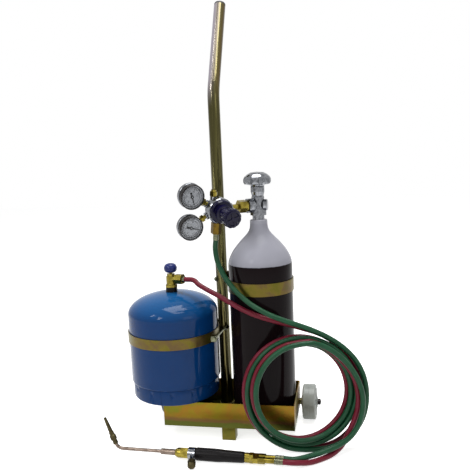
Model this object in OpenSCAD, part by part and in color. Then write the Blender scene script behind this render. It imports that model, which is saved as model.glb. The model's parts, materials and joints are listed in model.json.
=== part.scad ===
// Portable welding set: a two-wheeled sheet-metal cart that carries a small oxygen cylinder
// and a butane bottle, with regulator, twin hoses and a brazing torch.
// X runs to the right, Y to the back and Z up. The origin is under the middle of the front foot.

/* [Tray] */
// Width of the tray over its end walls
tray_w = 290; // [280:1:330]
// Depth of the tray from front to back
tray_d = 145; // [145:1:160]
// Height of the tray walls
tray_h = 56; // [46:1:70]
// Thickness of the tray sheet
sheet = 2; // [1.5:0.1:2.4]
// Height of the front foot, which is the gap under the tray
foot_h = 28; // [24:1:30]
// Width of the front foot
foot_w = 30; // [20:1:60]
// Depth of the front foot
foot_d = 24; // [16:1:40]

/* [Wheels] */
// Diameter of the wheels
wheel_d = 80; // [76:1:84]
// Width of a wheel at its hub
wheel_w = 37; // [30:1:45]
// Gap between a wheel hub and the tray wall
wheel_gap = 4.5; // [3:0.5:10]
// Diameter of the wheel bolts
axle_d = 8; // [6:0.5:10]
// Distance from the wheel bolts to the back of the tray
axle_inset = 16; // [14:1:20]

/* [Handle] */
// Diameter of the handle tube
tube_d = 27; // [24:0.5:28]
// Wall thickness of the handle tube
tube_wall = 2; // [1.5:0.1:3]
// Length of the upright part of the handle tube
upright_len = 707; // [600:1:900]
// Centre radius of the handle's bend
bend_r = 80; // [60:1:120]
// Angle by which the handle leans back above its bend
bend_a = 28.5; // [10:0.5:45]
// Length of the leaning part of the handle tube
grip_len = 227; // [150:1:320]
// Height of the plastic plug's head
cap_h = 7; // [4:0.5:14]

/* [Oxygen cylinder] */
// Diameter of the oxygen cylinder
oxygen_d = 140; // [120:1:140]
// Height of the oxygen cylinder from its base to the start of the shoulder
oxygen_h = 342; // [320:1:420]
// Wall thickness of the oxygen cylinder
oxygen_wall = 4; // [3:0.1:6]
// Radius of the shoulder curve
shoulder_r = 92; // [85:1:110]
// Diameter of the neck ring
neck_d = 38; // [36:1:42]
// Height of the neck ring
neck_h = 24; // [18:1:30]
// Clear distance between the oxygen cylinder and the handle tube
oxygen_gap = 32; // [26:1:40]
// Clear distance between the oxygen cylinder and the tray's end wall
wall_gap = 1; // [0.5:0.1:4]

/* [Oxygen valve] */
// Diameter of the handwheel
handwheel_d = 60; // [50:1:66]
// Height of the handwheel
handwheel_h = 28; // [22:1:34]
// Number of hollows round the handwheel
handwheel_lobes = 8; // [5:1:10]
// Distance from the valve's axis to its outlet face
outlet_reach = 28; // [25:1:34]
// Height of the outlet above the neck ring
outlet_rise = 31; // [29:1:33]

/* [Butane bottle] */
// Diameter of the butane bottle
butane_d = 203; // [180:1:206]
// Height of the bottle's straight side, foot ring included
butane_h = 186; // [170:1:220]
// Height of the domed top
dome_h = 46; // [36:1:60]
// Wall thickness of the butane bottle
butane_wall = 2.6; // [2:0.1:4]
// Diameter of the foot ring
foot_ring_d = 196; // [176:1:197]
// Height of the foot ring
foot_ring_h = 37; // [26:1:44]
// Clear distance between the butane bottle and the handle tube
butane_gap = 4.5; // [3.5:0.5:8]

/* [Straps] */
// Thickness of the strap band
strap_t = 2; // [1:0.1:3]
// Width of the oxygen cylinder's strap
oxygen_strap_w = 27; // [20:1:40]
// Height of that strap above the floor
oxygen_strap_z = 321; // [300:1:335]
// Width of the butane bottle's strap
butane_strap_w = 23; // [18:1:40]
// Height of that strap above the floor
butane_strap_z = 210; // [180:1:230]
// Gap between the two ears of a strap
ear_gap = 4; // [2:0.5:6]
// Diameter of the strap bolts
bolt_d = 6; // [5:0.5:8]

/* [Regulator] */
// Radius of the regulator body
reg_r = 26; // [24:0.5:30]
// Distance from the valve's outlet face to the middle of the regulator
inlet_len = 70; // [58:1:80]
// Direction of the inlet, turned from the row of bottles
reg_turn = 38; // [25:1:45]
// Angle by which the regulator tips forward
reg_tip = 12; // [0:1:15]
// Diameter of the adjusting knob
knob_d = 40; // [34:1:46]
// Length of the adjusting knob
knob_len = 14; // [12:1:20]
// Number of grooves round the adjusting knob
knob_grooves = 12; // [8:1:14]
// Diameter of the gauges
gauge_d = 52; // [44:1:58]
// Depth of the gauge cases
gauge_depth = 26; // [22:1:32]
// Sideways distance from the middle of the regulator to the gauges
gauge_side = 62; // [58:1:80]
// Distance of each gauge above or below the middle
gauge_rise = 33; // [30:1:40]

/* [Torch] */
// Length of the grip
grip_l = 104; // [80:1:130]
// Radius of the grip
grip_r = 13; // [10:0.5:13.5]
// Length of the lance from the valve block's nut to its bend
lance_len = 118; // [90:1:160]
// Radius of the lance tube
lance_r = 3.5; // [3:0.1:5]
// Bend of the lance at its tip
tip_a = 69; // [30:1:90]
// Length of the nozzle
nozzle_len = 60; // [40:1:80]

/* [Hoses] */
// Outer diameter of the hoses
hose_d = 11; // [10:0.1:11]
// Distance from one turn of a coil to the next
coil_pitch = 11.6; // [11.5:0.1:12]

/* [Hidden] */
$fn = 64;

// Clearances
run_fit = 0.05;   // radial, between a turning piece and its shaft
seat = 0.1;       // radial, between a plug or thread and its hole
air = 0.3;        // between faces that move past each other
hose_seat = 0.2;  // between a hose's end and its ferrule

// Tray and wheels
tray_y = -foot_d / 2;
tray_back = tray_y + tray_d;
floor_z = foot_h + sheet;
rim_z = foot_h + tray_h;
axle_y = tray_back - axle_inset;
axle_z = wheel_d / 2;
axle_head = 5;
nut_t = 6.5;
nut_af = axle_d * 1.65;

// Handle
tube_r = tube_d / 2;
tube_y = tray_back - sheet - tube_r;
bend_z = floor_z + upright_len;

// Bottles
bottle_y = tray_y + tray_d / 2;
oxygen_r = oxygen_d / 2;
oxygen_x = tray_w / 2 - sheet - wall_gap - oxygen_r;
oxygen_z = floor_z;
neck_hole = 9;
shoulder_end = neck_d / 2 + 3;
shoulder_rise = sqrt(pow(shoulder_r, 2) - pow(shoulder_r - oxygen_r + shoulder_end, 2));
neck_z = oxygen_z + oxygen_h + shoulder_rise;
tube_back = tube_y - bottle_y;
tube_x = oxygen_x - sqrt(pow(oxygen_r + oxygen_gap + tube_r, 2) - pow(tube_back, 2));
butane_r = butane_d / 2;
butane_x = tube_x - sqrt(pow(butane_r + butane_gap + tube_r, 2) - pow(tube_back, 2));
butane_z = rim_z;
dome_z = butane_z + butane_h;
dome_top = dome_z + dome_h;

// Oxygen valve, upwards from the neck ring
valve_z = neck_z + neck_h;
stem_r = 13;
valve_r = 13.5;
valve_plug = 12;
valve_hex_r = 17.5;
valve_hex_z = 9;
valve_hex_h = 19;
outlet_pipe_r = 10.5;
outlet_collar_r = 15.5;
side_cap_r = 12.5;
side_cap_x = 21;
outlet_z = valve_z + outlet_rise;
valve_top = outlet_z + 14;
bonnet_h = 27;
bonnet_top = valve_top + bonnet_h;
spindle_r = 4;
wheel_hub = 3;
wheel_z = bonnet_top + wheel_hub;

// Regulator frame: X to the cylinder valve, minus Y along the knob, origin in the middle of the body
inlet_rise = 1;
inlet_r = 6;
inlet_boss_r = 9.5;
inlet_nut_af = 24.5;
inlet_nut_len = 20.5;
inlet_nut_hex = 16.5;
reg_axis = [cos(reg_turn), sin(reg_turn), 0];
reg_up = [sin(reg_turn) * sin(reg_tip), -cos(reg_turn) * sin(reg_tip), cos(reg_tip)];
reg_back = cross(reg_up, reg_axis);
reg_mid = [oxygen_x, bottle_y, outlet_z] - (outlet_reach + inlet_len) * reg_axis - inlet_rise * reg_up;
body_front = 10;
ring_t = 8;
ring_hole = 20;
diaphragm_t = 1.5;
bonnet_y = body_front + ring_t;
bonnet_len = 41;
bonnet_step_r = 17.5;
bonnet_neck_r = 12;
plate_out = 20;
plate_t = 2.5;
spring_r = 7.5;
spring_turns = 6;
knob_y = bonnet_y + bonnet_len + 1;
screw_r = 4;
spring_wire = 1;
relief_x = -9;
relief_y = 2;
relief_boss = 2;
outlet_nut_z = reg_r + 3;
outlet_nut_h = 24;
outlet_nut_r = 11.5;
ferrule_h = 15;
gauge_r = gauge_d / 2;
gauge_front = gauge_depth / 2 + 1;
gauge_swing = atan(gauge_rise / gauge_side);
gauge_reach = norm([gauge_side, gauge_rise]);
rim_t = 2;
dial_drop = 6;
dial_t = 1;
needle_t = 0.8;
pin_r = 1;

// Butane valve
butane_top = dome_top;
foot_r = min(foot_ring_d / 2, butane_r - 3);
collar_h = 11;
tap_h = 30;
tap_r = 11;
tap_z = butane_top + collar_h;
tap_outlet_z = tap_z + 19;
tap_turn = -18;
tap_nut_from = 14;
tap_nut_len = 18;
tap_ferrule = 6;
tap_spindle_r = 3;
tap_knob_z = tap_z + tap_h + 3;
tap_knob_h = 21;
tap_knob_r = 14.8;

// Torch: X along the grip towards the hoses, resting on the floor
torch_y = -103;
torch_turn = -2;
grip_x = -51;
block_len = 15;
block_r = 12.5;
torch_z = max(grip_r, block_r) + 0.1;
front_nut_len = 28;
lance_x = grip_x - block_len - front_nut_len;
sleeve_len = 32;
sleeve_r = 6;
tip_bend_r = 16;
tail_x = grip_x + grip_l;
collar_len = 9;
tail_len = 18;
twin = 6.5;
hose_nut_len = 33;
hose_nut_x = tail_x + collar_len + tail_len;
torch_ferrule = 17;
hose_x = hose_nut_x + hose_nut_len + torch_ferrule;
valve_knob_r = 8.5;
valve_knob_len = 16;
valve_knob_y = 29;
valve_knob_lean = 16;
valve_knob_dip = 4;
valve_stub_r = 4.5;
valve_stub_x = grip_x - block_len / 2 - 1.5;
nose_len = 12.5;
valve_spindle_r = 2.5;

// Hoses. Both coils stand on the floor, turned and leaning back against the cart. Seen from the
// front they wind clockwise from the floor and draw in, then climb to the front and open out again.
hose_r = hose_d / 2;
coil_from = 180;
coil_back = 925;
coil_to = 1080;
coil_in = 95;
coil_open = 24;
coil_turn = 12;
coil_lean = 7;
coil_steps = 24;
coil_out = coil_in + coil_pitch * (coil_back - coil_from) / 360;
coil_right = [cos(coil_turn), sin(coil_turn), 0];
coil_up = [-sin(coil_turn) * sin(coil_lean), cos(coil_turn) * sin(coil_lean), cos(coil_lean)];
coil_front = cross(coil_right, coil_up);
green_mid = [167, -33, coil_out * cos(coil_lean) + hose_r + 0.9];
red_mid = green_mid - coil_pitch * coil_front - 6 * coil_right + [0, 0, 1.2];

// Route points of the stretches that aren't coiled, between ends that follow the fittings
green_lead_points = [
    [-11, 9, 390], [5, 0, 361], [28, -11, 335], [54, -20, 314], [78, -27, 300], [103, -31, 288],
    [129, -31, 278], [156, -28, 268], [183, -23, 257], [209, -15, 243], [234, -7, 226],
    [257, -3, 206], [276, -3, 183], [289, -3, 155], [295, -6, 125], [294, -10, 94], [286, -15, 65],
    [270, -22, 40], [248, -30, 21], [220, -37, 9]
];
red_lead_points = [
    [-61, 30, 338], [-39, 19, 329], [-13, 8, 319], [13, -2, 307], [43, -12, 294], [73, -18, 283],
    [105, -19, 274], [138, -17, 265], [170, -13, 255], [198, -6, 244], [223, 2, 228], [246, 7, 208],
    [266, 7, 184], [280, 7, 156], [287, 4, 126], [286, 1, 96], [278, -5, 66], [262, -11, 40],
    [240, -19, 20], [211, -27, 8]
];
green_tail_points = [
    [216, -34, 223], [243, -31, 203], [264, -29, 179], [279, -30, 152], [287, -32, 122], [286, -36, 91],
    [278, -42, 64], [262, -50, 42], [240, -60, 28], [213, -71, 19], [185, -84, 14]
];
red_tail_points = [
    [207, -24, 223], [232, -21, 204], [253, -19, 183], [269, -19, 157], [277, -21, 129], [278, -24, 100],
    [271, -30, 72], [258, -36, 44], [245, -43, 20], [227, -59, 8], [205, -80, 6], [181, -99, 7]
];

// A turned or lying piece is drawn along Z and laid along X or Y by these.
module along_x() { rotate([0, 90, 0]) children(); }
module along_y() { rotate([-90, 0, 0]) children(); }

module hex_nut(af, h, hole) {
    difference() {
        cylinder(r = af / sqrt(3), h = h, $fn = 6);
        translate([0, 0, -1]) cylinder(r = hole, h = h + 2);
    }
}

module ring(outer, inner, h) {
    difference() {
        cylinder(r = outer, h = h);
        translate([0, 0, -1]) cylinder(r = inner, h = h + 2);
    }
}

// A turned knob with hollows round its edge and a blind hole from below
module fluted_knob(r, h, count, flute_r, hole, depth, crown) {
    difference() {
        rotate_extrude() polygon([
            [0, 0], [r * 0.9, 0], [r, h * 0.12], [r, h - crown], [r - crown, h], [0, h]
        ]);
        for (i = [0 : count - 1])
            rotate([0, 0, 360 * i / count])
                translate([r + flute_r * 0.55, 0, -1]) cylinder(r = flute_r, h = h + 2, $fn = 24);
        translate([0, 0, -1]) cylinder(r = hole, h = depth + 1);
    }
}

// ---- Tray, foot and wheels ----

module tray() {
    color("darkkhaki") difference() {
        translate([-tray_w / 2, tray_y, foot_h]) cube([tray_w, tray_d, tray_h]);
        translate([-tray_w / 2 + sheet, tray_y + sheet, floor_z])
            cube([tray_w - 2 * sheet, tray_d - 2 * sheet, tray_h]);
        translate([-tray_w, axle_y, axle_z])
            along_x() cylinder(r = axle_d / 2 + seat, h = 2 * tray_w);
    }
}

module front_foot() {
    color("darkkhaki") translate([-foot_w / 2, tray_y, 0]) difference() {
        cube([foot_w, foot_d, foot_h]);
        translate([sheet, sheet, sheet]) cube([foot_w - 2 * sheet, foot_d, foot_h]);
    }
}

module each_side() {
    for (side = [-1, 1])
        translate([side * (tray_w / 2), axle_y, axle_z])
            rotate([0, 0, side < 0 ? 180 : 0]) children();
}

module axle_bolts() {
    color("dimgray") each_side() {
        translate([-sheet - axle_head, 0, 0]) along_x()
            cylinder(r = nut_af / sqrt(3), h = axle_head, $fn = 6);
        translate([-sheet, 0, 0]) along_x()
            cylinder(r = axle_d / 2, h = sheet + wheel_gap + wheel_w + air + nut_t + 1);
    }
}

module axle_spacers() {
    color("gray") each_side() along_x() ring(axle_d / 2 + 3.5, axle_d / 2 + seat, wheel_gap - air);
}

module axle_nuts() {
    color("silver") each_side() translate([wheel_gap + wheel_w + air, 0, 0])
        along_x() hex_nut(nut_af, nut_t, axle_d / 2 + seat);
}

// A barrel-shaped roller, wider at its hub than at its tread
module wheel() {
    r = wheel_d / 2;
    half = wheel_w / 2;
    color("gainsboro") along_x() rotate_extrude() polygon([
        [axle_d / 2 + run_fit, -half], [14, -half], [r - 6, 3.2 - half], [r - 1.6, 4.2 - half],
        [r, 6.4 - half], [r, half - 6.4], [r - 1.6, half - 4.2], [r - 6, half - 3.2],
        [14, half], [axle_d / 2 + run_fit, half]
    ]);
}

module wheel_left() {
    translate([-tray_w / 2 - wheel_gap - wheel_w / 2, axle_y, axle_z]) wheel();
}

module wheel_right() {
    translate([tray_w / 2 + wheel_gap + wheel_w / 2, axle_y, axle_z]) wheel();
}

// ---- Handle ----

module tube_section() {
    difference() {
        circle(r = tube_r);
        circle(r = tube_r - tube_wall);
    }
}

module at_handle_end() {
    translate([tube_x, tube_y + bend_r * (1 - cos(bend_a)), bend_z + bend_r * sin(bend_a)])
        rotate([-bend_a, 0, 0]) children();
}

module handle_tube() {
    color("darkkhaki") difference() {
        union() {
            translate([tube_x, tube_y, floor_z]) linear_extrude(upright_len) tube_section();
            translate([tube_x, tube_y + bend_r, bend_z]) rotate([90, 0, -90])
                rotate_extrude(angle = bend_a) translate([bend_r, 0]) tube_section();
            at_handle_end() linear_extrude(grip_len) tube_section();
            // A thin weld ring inside the wall, half on each side of the bend's end
            at_handle_end() translate([0, 0, -1])
                ring(tube_r - tube_wall / 4, tube_r - tube_wall * 3 / 4, 2);
        }
        strap_bolt_holes();
    }
}

module tube_cap() {
    color("black") at_handle_end() translate([0, 0, grip_len]) {
        rotate_extrude() polygon(concat(
            [[0, 0], [tube_r, 0]],
            [for (a = [0 : 15 : 90]) [tube_r - 4 + 4 * cos(a), cap_h - 4 + 4 * sin(a)]],
            [[0, cap_h]]
        ));
        translate([0, 0, -14]) cylinder(r = tube_r - tube_wall - seat, h = 14);
    }
}

// ---- Straps: a band round the bottle whose two ears are bolted to the back of the handle tube ----

tube_to_oxygen = norm([tube_x - oxygen_x, tube_back]);
tube_to_butane = norm([tube_x - butane_x, tube_back]);
ear_offset = ear_gap / 2 + strap_t + seat + tube_r;
oxygen_ear_a = 180 - asin(tube_back / tube_to_oxygen) - asin(ear_offset / tube_to_oxygen);
butane_ear_a = asin(tube_back / tube_to_butane) + asin(ear_offset / tube_to_butane);
oxygen_bolt_x = sqrt(pow(tube_to_oxygen, 2) - pow(ear_offset, 2));
butane_bolt_x = sqrt(pow(tube_to_butane, 2) - pow(ear_offset, 2));
ear_end = 11;

module at_oxygen_ear() {
    translate([oxygen_x, bottle_y, oxygen_strap_z + oxygen_strap_w / 2])
        rotate([0, 0, oxygen_ear_a]) children();
}

module at_butane_ear() {
    translate([butane_x, bottle_y, butane_strap_z + butane_strap_w / 2])
        rotate([0, 0, butane_ear_a]) children();
}

module strap(bottle_r, width, bolt_x) {
    inner = bottle_r + air;
    translate([0, 0, -width / 2]) difference() {
        union() {
            ring(inner + strap_t, inner, width);
            for (y = [-ear_gap / 2 - strap_t, ear_gap / 2])
                translate([inner + 0.4, y, 0]) cube([bolt_x + ear_end - inner - 0.4, strap_t, width]);
        }
        translate([inner - 10, -ear_gap / 2, -1]) cube([20, ear_gap, width + 2]);
        translate([0, 0, width / 2]) bolt_hole(bolt_x);
    }
}

module oxygen_strap() {
    color("olive") at_oxygen_ear() strap(oxygen_r, oxygen_strap_w, oxygen_bolt_x);
}

module butane_strap() {
    color("olive") at_butane_ear() strap(butane_r, butane_strap_w, butane_bolt_x);
}

module bolt_hole(bolt_x) {
    translate([bolt_x, -2 * tube_d, 0]) along_y() cylinder(r = bolt_d / 2 + seat, h = 4 * tube_d);
}

// The bolt's head is on the rear ear and its nut in front of the tube. Side is where the tube lies.
module strap_bolt(bolt_x, side) {
    ears = ear_gap / 2 + strap_t;
    head = bolt_d * 0.7;
    nut_from = ears + 2 * seat + tube_d;
    nut = bolt_d * 0.8;
    translate([bolt_x, 0, 0]) rotate([-90 * side, 0, 0]) {
        translate([0, 0, -ears - head]) cylinder(r = bolt_d * 0.9, h = head, $fn = 6);
        translate([0, 0, -ears]) cylinder(r = bolt_d / 2, h = ears + nut_from + nut + 2);
        translate([0, 0, nut_from]) hex_nut(bolt_d * 1.6, nut, bolt_d / 2 + seat);
    }
}

module strap_bolts() {
    color("silver") {
        at_oxygen_ear() strap_bolt(oxygen_bolt_x, 1);
        at_butane_ear() strap_bolt(butane_bolt_x, -1);
    }
}

module strap_bolt_holes() {
    at_oxygen_ear() bolt_hole(oxygen_bolt_x);
    at_butane_ear() bolt_hole(butane_bolt_x);
}

// ---- Oxygen cylinder and its valve ----

function shoulder(r_out, r_curve, r_stop, z) = [
    for (i = [0 : 9])
        let (stop = acos((r_curve - r_out + r_stop) / r_curve), a = stop * i / 9)
            [r_out - r_curve + r_curve * cos(a), z + r_curve * sin(a)]
];

module oxygen_cylinder() {
    inner = oxygen_r - oxygen_wall;
    outside = shoulder(oxygen_r, shoulder_r, shoulder_end, oxygen_h);
    inside = shoulder(inner, shoulder_r - oxygen_wall, neck_hole, oxygen_h);
    n = len(inside) - 1;
    color("black") translate([oxygen_x, bottle_y, oxygen_z]) rotate_extrude() polygon(concat(
        [[0, 6], [oxygen_r - 22, 0]],
        [for (a = [0 : 15 : 90]) [oxygen_r - 10 + 10 * sin(a), 10 - 10 * cos(a)]],
        outside,
        [[neck_hole, oxygen_h + shoulder_rise]],
        [for (i = [0 : n]) inside[n - i]],
        [[inner, 14], [inner - 8, oxygen_wall + 2], [0, oxygen_wall + 6]]
    ));
}

module oxygen_neck_ring() {
    color("gainsboro") translate([oxygen_x, bottle_y, neck_z]) rotate_extrude() polygon([
        [stem_r - 2 + seat, 0], [neck_d / 2, 0], [neck_d / 2, neck_h - 2], [neck_d / 2 - 2, neck_h],
        [stem_r - 2 + seat, neck_h]
    ]);
}

module at_valve(z) { translate([oxygen_x, bottle_y, z]) children(); }

module toward_regulator() { rotate([0, 0, 180 + reg_turn]) along_x() children(); }

module oxygen_valve_body() {
    collar_from = valve_r + 0.7;
    cap_from = valve_r - 1;
    cap_len = side_cap_x - cap_from;
    color("silver") difference() {
        union() {
            at_valve(neck_z - valve_plug) cylinder(r = neck_hole - seat, h = valve_plug + 1);
            at_valve(neck_z) cylinder(r = stem_r - 2, h = neck_h);
            at_valve(valve_z) cylinder(r = stem_r, h = valve_hex_z + 1);
            at_valve(valve_z + valve_hex_z) cylinder(r = valve_hex_r, h = valve_hex_h, $fn = 6);
            at_valve(outlet_z - 5) cylinder(r = valve_r, h = valve_top - outlet_z + 5);
            at_valve(outlet_z) toward_regulator() cylinder(r = outlet_pipe_r, h = outlet_reach);
            at_valve(outlet_z) toward_regulator() translate([0, 0, collar_from])
                cylinder(r = outlet_collar_r, h = outlet_reach - 1 - collar_from);
            at_valve(outlet_z) translate([cap_from, 0, 0]) along_x() rotate_extrude() polygon([
                [0, 0], [side_cap_r, 0], [side_cap_r, cap_len - 2], [side_cap_r - 1.5, cap_len],
                [0, cap_len]
            ]);
        }
        at_valve(valve_top - 8) cylinder(r = spindle_r + seat, h = 10);
    }
}

module oxygen_valve_bonnet() {
    color("silver") at_valve(valve_top) rotate_extrude() polygon([
        [spindle_r + run_fit, 0], [valve_r + 0.5, 0], [valve_r + 0.5, 4], [valve_r - 0.5, 5],
        [valve_r - 0.5, 7], [valve_r + 1.5, 15], [valve_r + 1.5, bonnet_h - 1],
        [valve_r + 0.5, bonnet_h], [spindle_r + run_fit, bonnet_h]
    ]);
}

module oxygen_valve_spindle() {
    color("gray") at_valve(valve_top - 8 + air)
        cylinder(r = spindle_r, h = 8 - air + bonnet_h + wheel_hub + handwheel_h * 0.6);
}

module oxygen_handwheel() {
    r = handwheel_d / 2;
    h = handwheel_h;
    color("silver") at_valve(bonnet_top + air) difference() {
        union() {
            cylinder(r1 = valve_r + 1.5, r2 = valve_r + 4, h = wheel_hub + 1);
            translate([0, 0, wheel_hub - air]) rotate_extrude() polygon([
                [0, 0], [r - 7, 0], [r - 2, 2], [r, 6], [r, h * 0.45], [r - 2.5, h * 0.62],
                [r - 8, h * 0.8], [r - 16, h * 0.95], [0, h]
            ]);
        }
        for (i = [0 : handwheel_lobes - 1])
            rotate([0, 0, 360 * (i + 0.5) / handwheel_lobes])
                translate([r + 3.5, 0, -1]) cylinder(r = 7, h = h + 5, $fn = 32);
        translate([0, 0, -1]) cylinder(r = spindle_r + seat, h = wheel_hub + handwheel_h * 0.6 + 1);
    }
}

// ---- Regulator and gauges ----

module at_regulator() { translate(reg_mid) rotate([reg_tip, 0, reg_turn]) children(); }

// Lays a turned shape, drawn upwards, out towards the knob from a given distance in front.
module in_front(y) { translate([0, -y, 0]) rotate([90, 0, 0]) children(); }

module regulator_inlet_stem() {
    color("goldenrod") at_regulator() translate([reg_r, 0, inlet_rise]) along_x()
        cylinder(r = inlet_r, h = inlet_len - reg_r);
}

module regulator_inlet_nut() {
    ring_len = inlet_nut_len - inlet_nut_hex - 0.2;
    color("goldenrod") at_regulator()
        translate([inlet_len - inlet_nut_len, 0, inlet_rise]) along_x() {
            rotate([0, 0, 30]) hex_nut(inlet_nut_af, inlet_nut_hex, inlet_r + seat);
            translate([0, 0, inlet_nut_hex]) ring(inlet_nut_af / 2, inlet_r + seat, ring_len);
        }
}

module regulator_body() {
    color("silver") at_regulator() difference() {
        union() {
            in_front(body_front) mirror([0, 0, 1]) rotate_extrude() polygon([
                [0, 0], [reg_r, 0], [reg_r, 14], [reg_r - 5, 23], [reg_r - 12, 28], [0, 28]
            ]);
            translate([reg_r - 8, 0, inlet_rise]) along_x() cylinder(r = inlet_boss_r, h = 15);
            translate([0, 0, -outlet_nut_z]) cylinder(r = 9, h = 12);
            translate([relief_x, relief_y, reg_r - 8]) cylinder(r = 7, h = 8 + relief_boss);
            for (side = [-1, 1])
                rotate([0, side * gauge_swing - 90, 0]) translate([0, 0, reg_r - 8])
                    cylinder(r = 8, h = 12);
        }
        translate([reg_r, 0, inlet_rise]) along_x() cylinder(r = inlet_r + seat, h = 20);
    }
}

module regulator_ring_nut() {
    color("gainsboro") at_regulator() in_front(body_front) rotate_extrude() polygon([
        [ring_hole, 0], [reg_r + 1.5, 0], [reg_r + 1.5, ring_t - 2], [reg_r, ring_t], [ring_hole, ring_t]
    ]);
}

// The bonnet steps down from its flange to a neck, and its cavity holds the spring and plate.
module regulator_bonnet() {
    cavity_r = bonnet_neck_r - 2;
    cavity_end = plate_out + plate_t + 4;
    color("midnightblue") at_regulator() in_front(bonnet_y) rotate_extrude() polygon([
        [ring_hole - 1, 0], [reg_r - 1, 0], [reg_r - 1, 5], [reg_r - 3, 8], [bonnet_step_r, 9],
        [bonnet_step_r, 17], [bonnet_step_r - 2, 19], [bonnet_neck_r + 1, 20],
        [bonnet_neck_r, bonnet_len], [screw_r + run_fit, bonnet_len],
        [screw_r + run_fit, cavity_end], [cavity_r, cavity_end], [cavity_r, 9], [ring_hole - 1, 2]
    ]);
}

module regulator_diaphragm() {
    color("black") at_regulator() in_front(body_front) cylinder(r = ring_hole - 0.3, h = diaphragm_t);
}

module regulator_spring() {
    from = body_front + diaphragm_t;
    length = bonnet_y + plate_out - from;
    low = spring_wire + seat;
    steps = 12 * spring_turns;
    color("gray") at_regulator() in_front(from) tube_along([
        for (i = [0 : steps])
            [spring_r * cos(30 * i), spring_r * sin(30 * i), low + (length - 2 * low) * i / steps]
    ], spring_wire, 6);
}

module regulator_screw() {
    rod_from = bonnet_y + plate_out + plate_t - 1;
    color("gray") at_regulator() {
        in_front(bonnet_y + plate_out) cylinder(r = spring_r + 1.5, h = plate_t);
        in_front(rod_from) cylinder(r = screw_r, h = knob_y + knob_len - 4 - rod_from);
    }
}

module regulator_knob() {
    color("midnightblue") at_regulator() in_front(knob_y)
        fluted_knob(knob_d / 2, knob_len, knob_grooves, 3.2, screw_r + seat, knob_len - 3, 2.5);
}

module regulator_relief_valve() {
    color("goldenrod") at_regulator() translate([relief_x, relief_y, reg_r + relief_boss]) {
        cylinder(r = 5, h = 3);
        translate([0, 0, 2]) cylinder(r = 8.5, h = 8, $fn = 6);
        translate([0, 0, 9]) cylinder(r = 5.5, h = 5);
    }
}

module regulator_outlet_nut() {
    color("goldenrod") at_regulator() translate([0, 0, -outlet_nut_z - outlet_nut_h])
        rotate([0, 0, 30]) cylinder(r = outlet_nut_r, h = outlet_nut_h, $fn = 6);
}

// Frame of one gauge: its middle, turned so that its stem points at the regulator
module at_gauge(side) {
    at_regulator() rotate([0, side * gauge_swing, 0]) translate([-gauge_reach, 0, 0]) children();
}

module gauge_stems() {
    color("goldenrod") for (side = [-1, 1]) at_gauge(side) {
        translate([gauge_r - 4, 0, 0]) along_x() cylinder(r = 4.5, h = gauge_reach - gauge_r - reg_r);
        translate([gauge_r + 3, 0, 0]) along_x() cylinder(r = 8, h = 6.5, $fn = 6);
    }
}

module gauge_case() {
    difference() {
        in_front(gauge_front) mirror([0, 0, 1]) rotate_extrude() polygon([
            [0, dial_drop], [gauge_r - rim_t, dial_drop], [gauge_r - rim_t, 0], [gauge_r - 0.6, 0],
            [gauge_r, 1], [gauge_r, 5], [gauge_r - 1, 5.6], [gauge_r - 1, gauge_depth - 3],
            [gauge_r - 4, gauge_depth], [0, gauge_depth]
        ]);
        translate([gauge_r - 5, 0, 0]) along_x() cylinder(r = 4.5 + seat, h = 10);
    }
}

module gauge_dial() {
    in_front(gauge_front - dial_drop) cylinder(r = gauge_r - rim_t - seat, h = dial_t);
    in_front(gauge_front - dial_drop + dial_t) cylinder(r = pin_r, h = 2.4, $fn = 24);
}

// The needle turns on the dial's pin. At zero it points an eighth of a turn past the stem.
module gauge_needle() {
    in_front(gauge_front - dial_drop + dial_t + 0.6) rotate([0, 0, -135]) difference() {
        union() {
            cylinder(r = 3, h = needle_t, $fn = 32);
            linear_extrude(needle_t) polygon([
                [-1.2, -7], [1.2, -7], [0.9, 2], [0.3, gauge_r - 9], [-0.3, gauge_r - 9], [-0.9, 2]
            ]);
        }
        translate([0, 0, -1]) cylinder(r = pin_r + run_fit, h = needle_t + 2, $fn = 24);
    }
}

module gauge_window() {
    in_front(gauge_front - 1.6) cylinder(r = gauge_r - rim_t - seat, h = 1);
}

module high_gauge_case() { color("silver") at_gauge(1) gauge_case(); }
module high_gauge_dial() { color("white") at_gauge(1) gauge_dial(); }
module high_gauge_needle() { color("black") at_gauge(1) gauge_needle(); }
module high_gauge_window() { color("white", 0.3) at_gauge(1) gauge_window(); }
module low_gauge_case() { color("silver") at_gauge(-1) gauge_case(); }
module low_gauge_dial() { color("white") at_gauge(-1) gauge_dial(); }
module low_gauge_needle() { color("black") at_gauge(-1) gauge_needle(); }
module low_gauge_window() { color("white", 0.3) at_gauge(-1) gauge_window(); }

// ---- Butane bottle and its valve ----

module at_butane(z) { translate([butane_x, bottle_y, z]) children(); }

module butane_bottle() {
    inner = butane_r - butane_wall;
    base = foot_ring_h - 4;
    edge = foot_r - 2.4;
    hole = tap_r - 3;
    top = butane_h + dome_h;
    roof = dome_h - butane_wall;
    color("steelblue") at_butane(butane_z) rotate_extrude() polygon(concat(
        [[0, base - 18], [edge * 0.53, base - 15], [edge * 0.85, base - 7], [edge, base]],
        [for (a = [0 : 22.5 : 90]) [foot_r + (butane_r - foot_r) * sin(a), base + 5 - 5 * cos(a)]],
        [for (a = [0 : 7.5 : 75]) [butane_r * cos(a), butane_h + dome_h * sin(a)]],
        [[14, top], [hole, top]],
        [for (a = [0 : 7.5 : 75]) [inner * cos(82.5 - a), butane_h + roof * sin(82.5 - a)]],
        [[inner, base + 8], [min(edge, inner - 3), base + butane_wall * 1.3]],
        [[edge * 0.85, base - 7 + butane_wall * 1.25], [0, base - 18 + butane_wall]]
    ));
}

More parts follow.
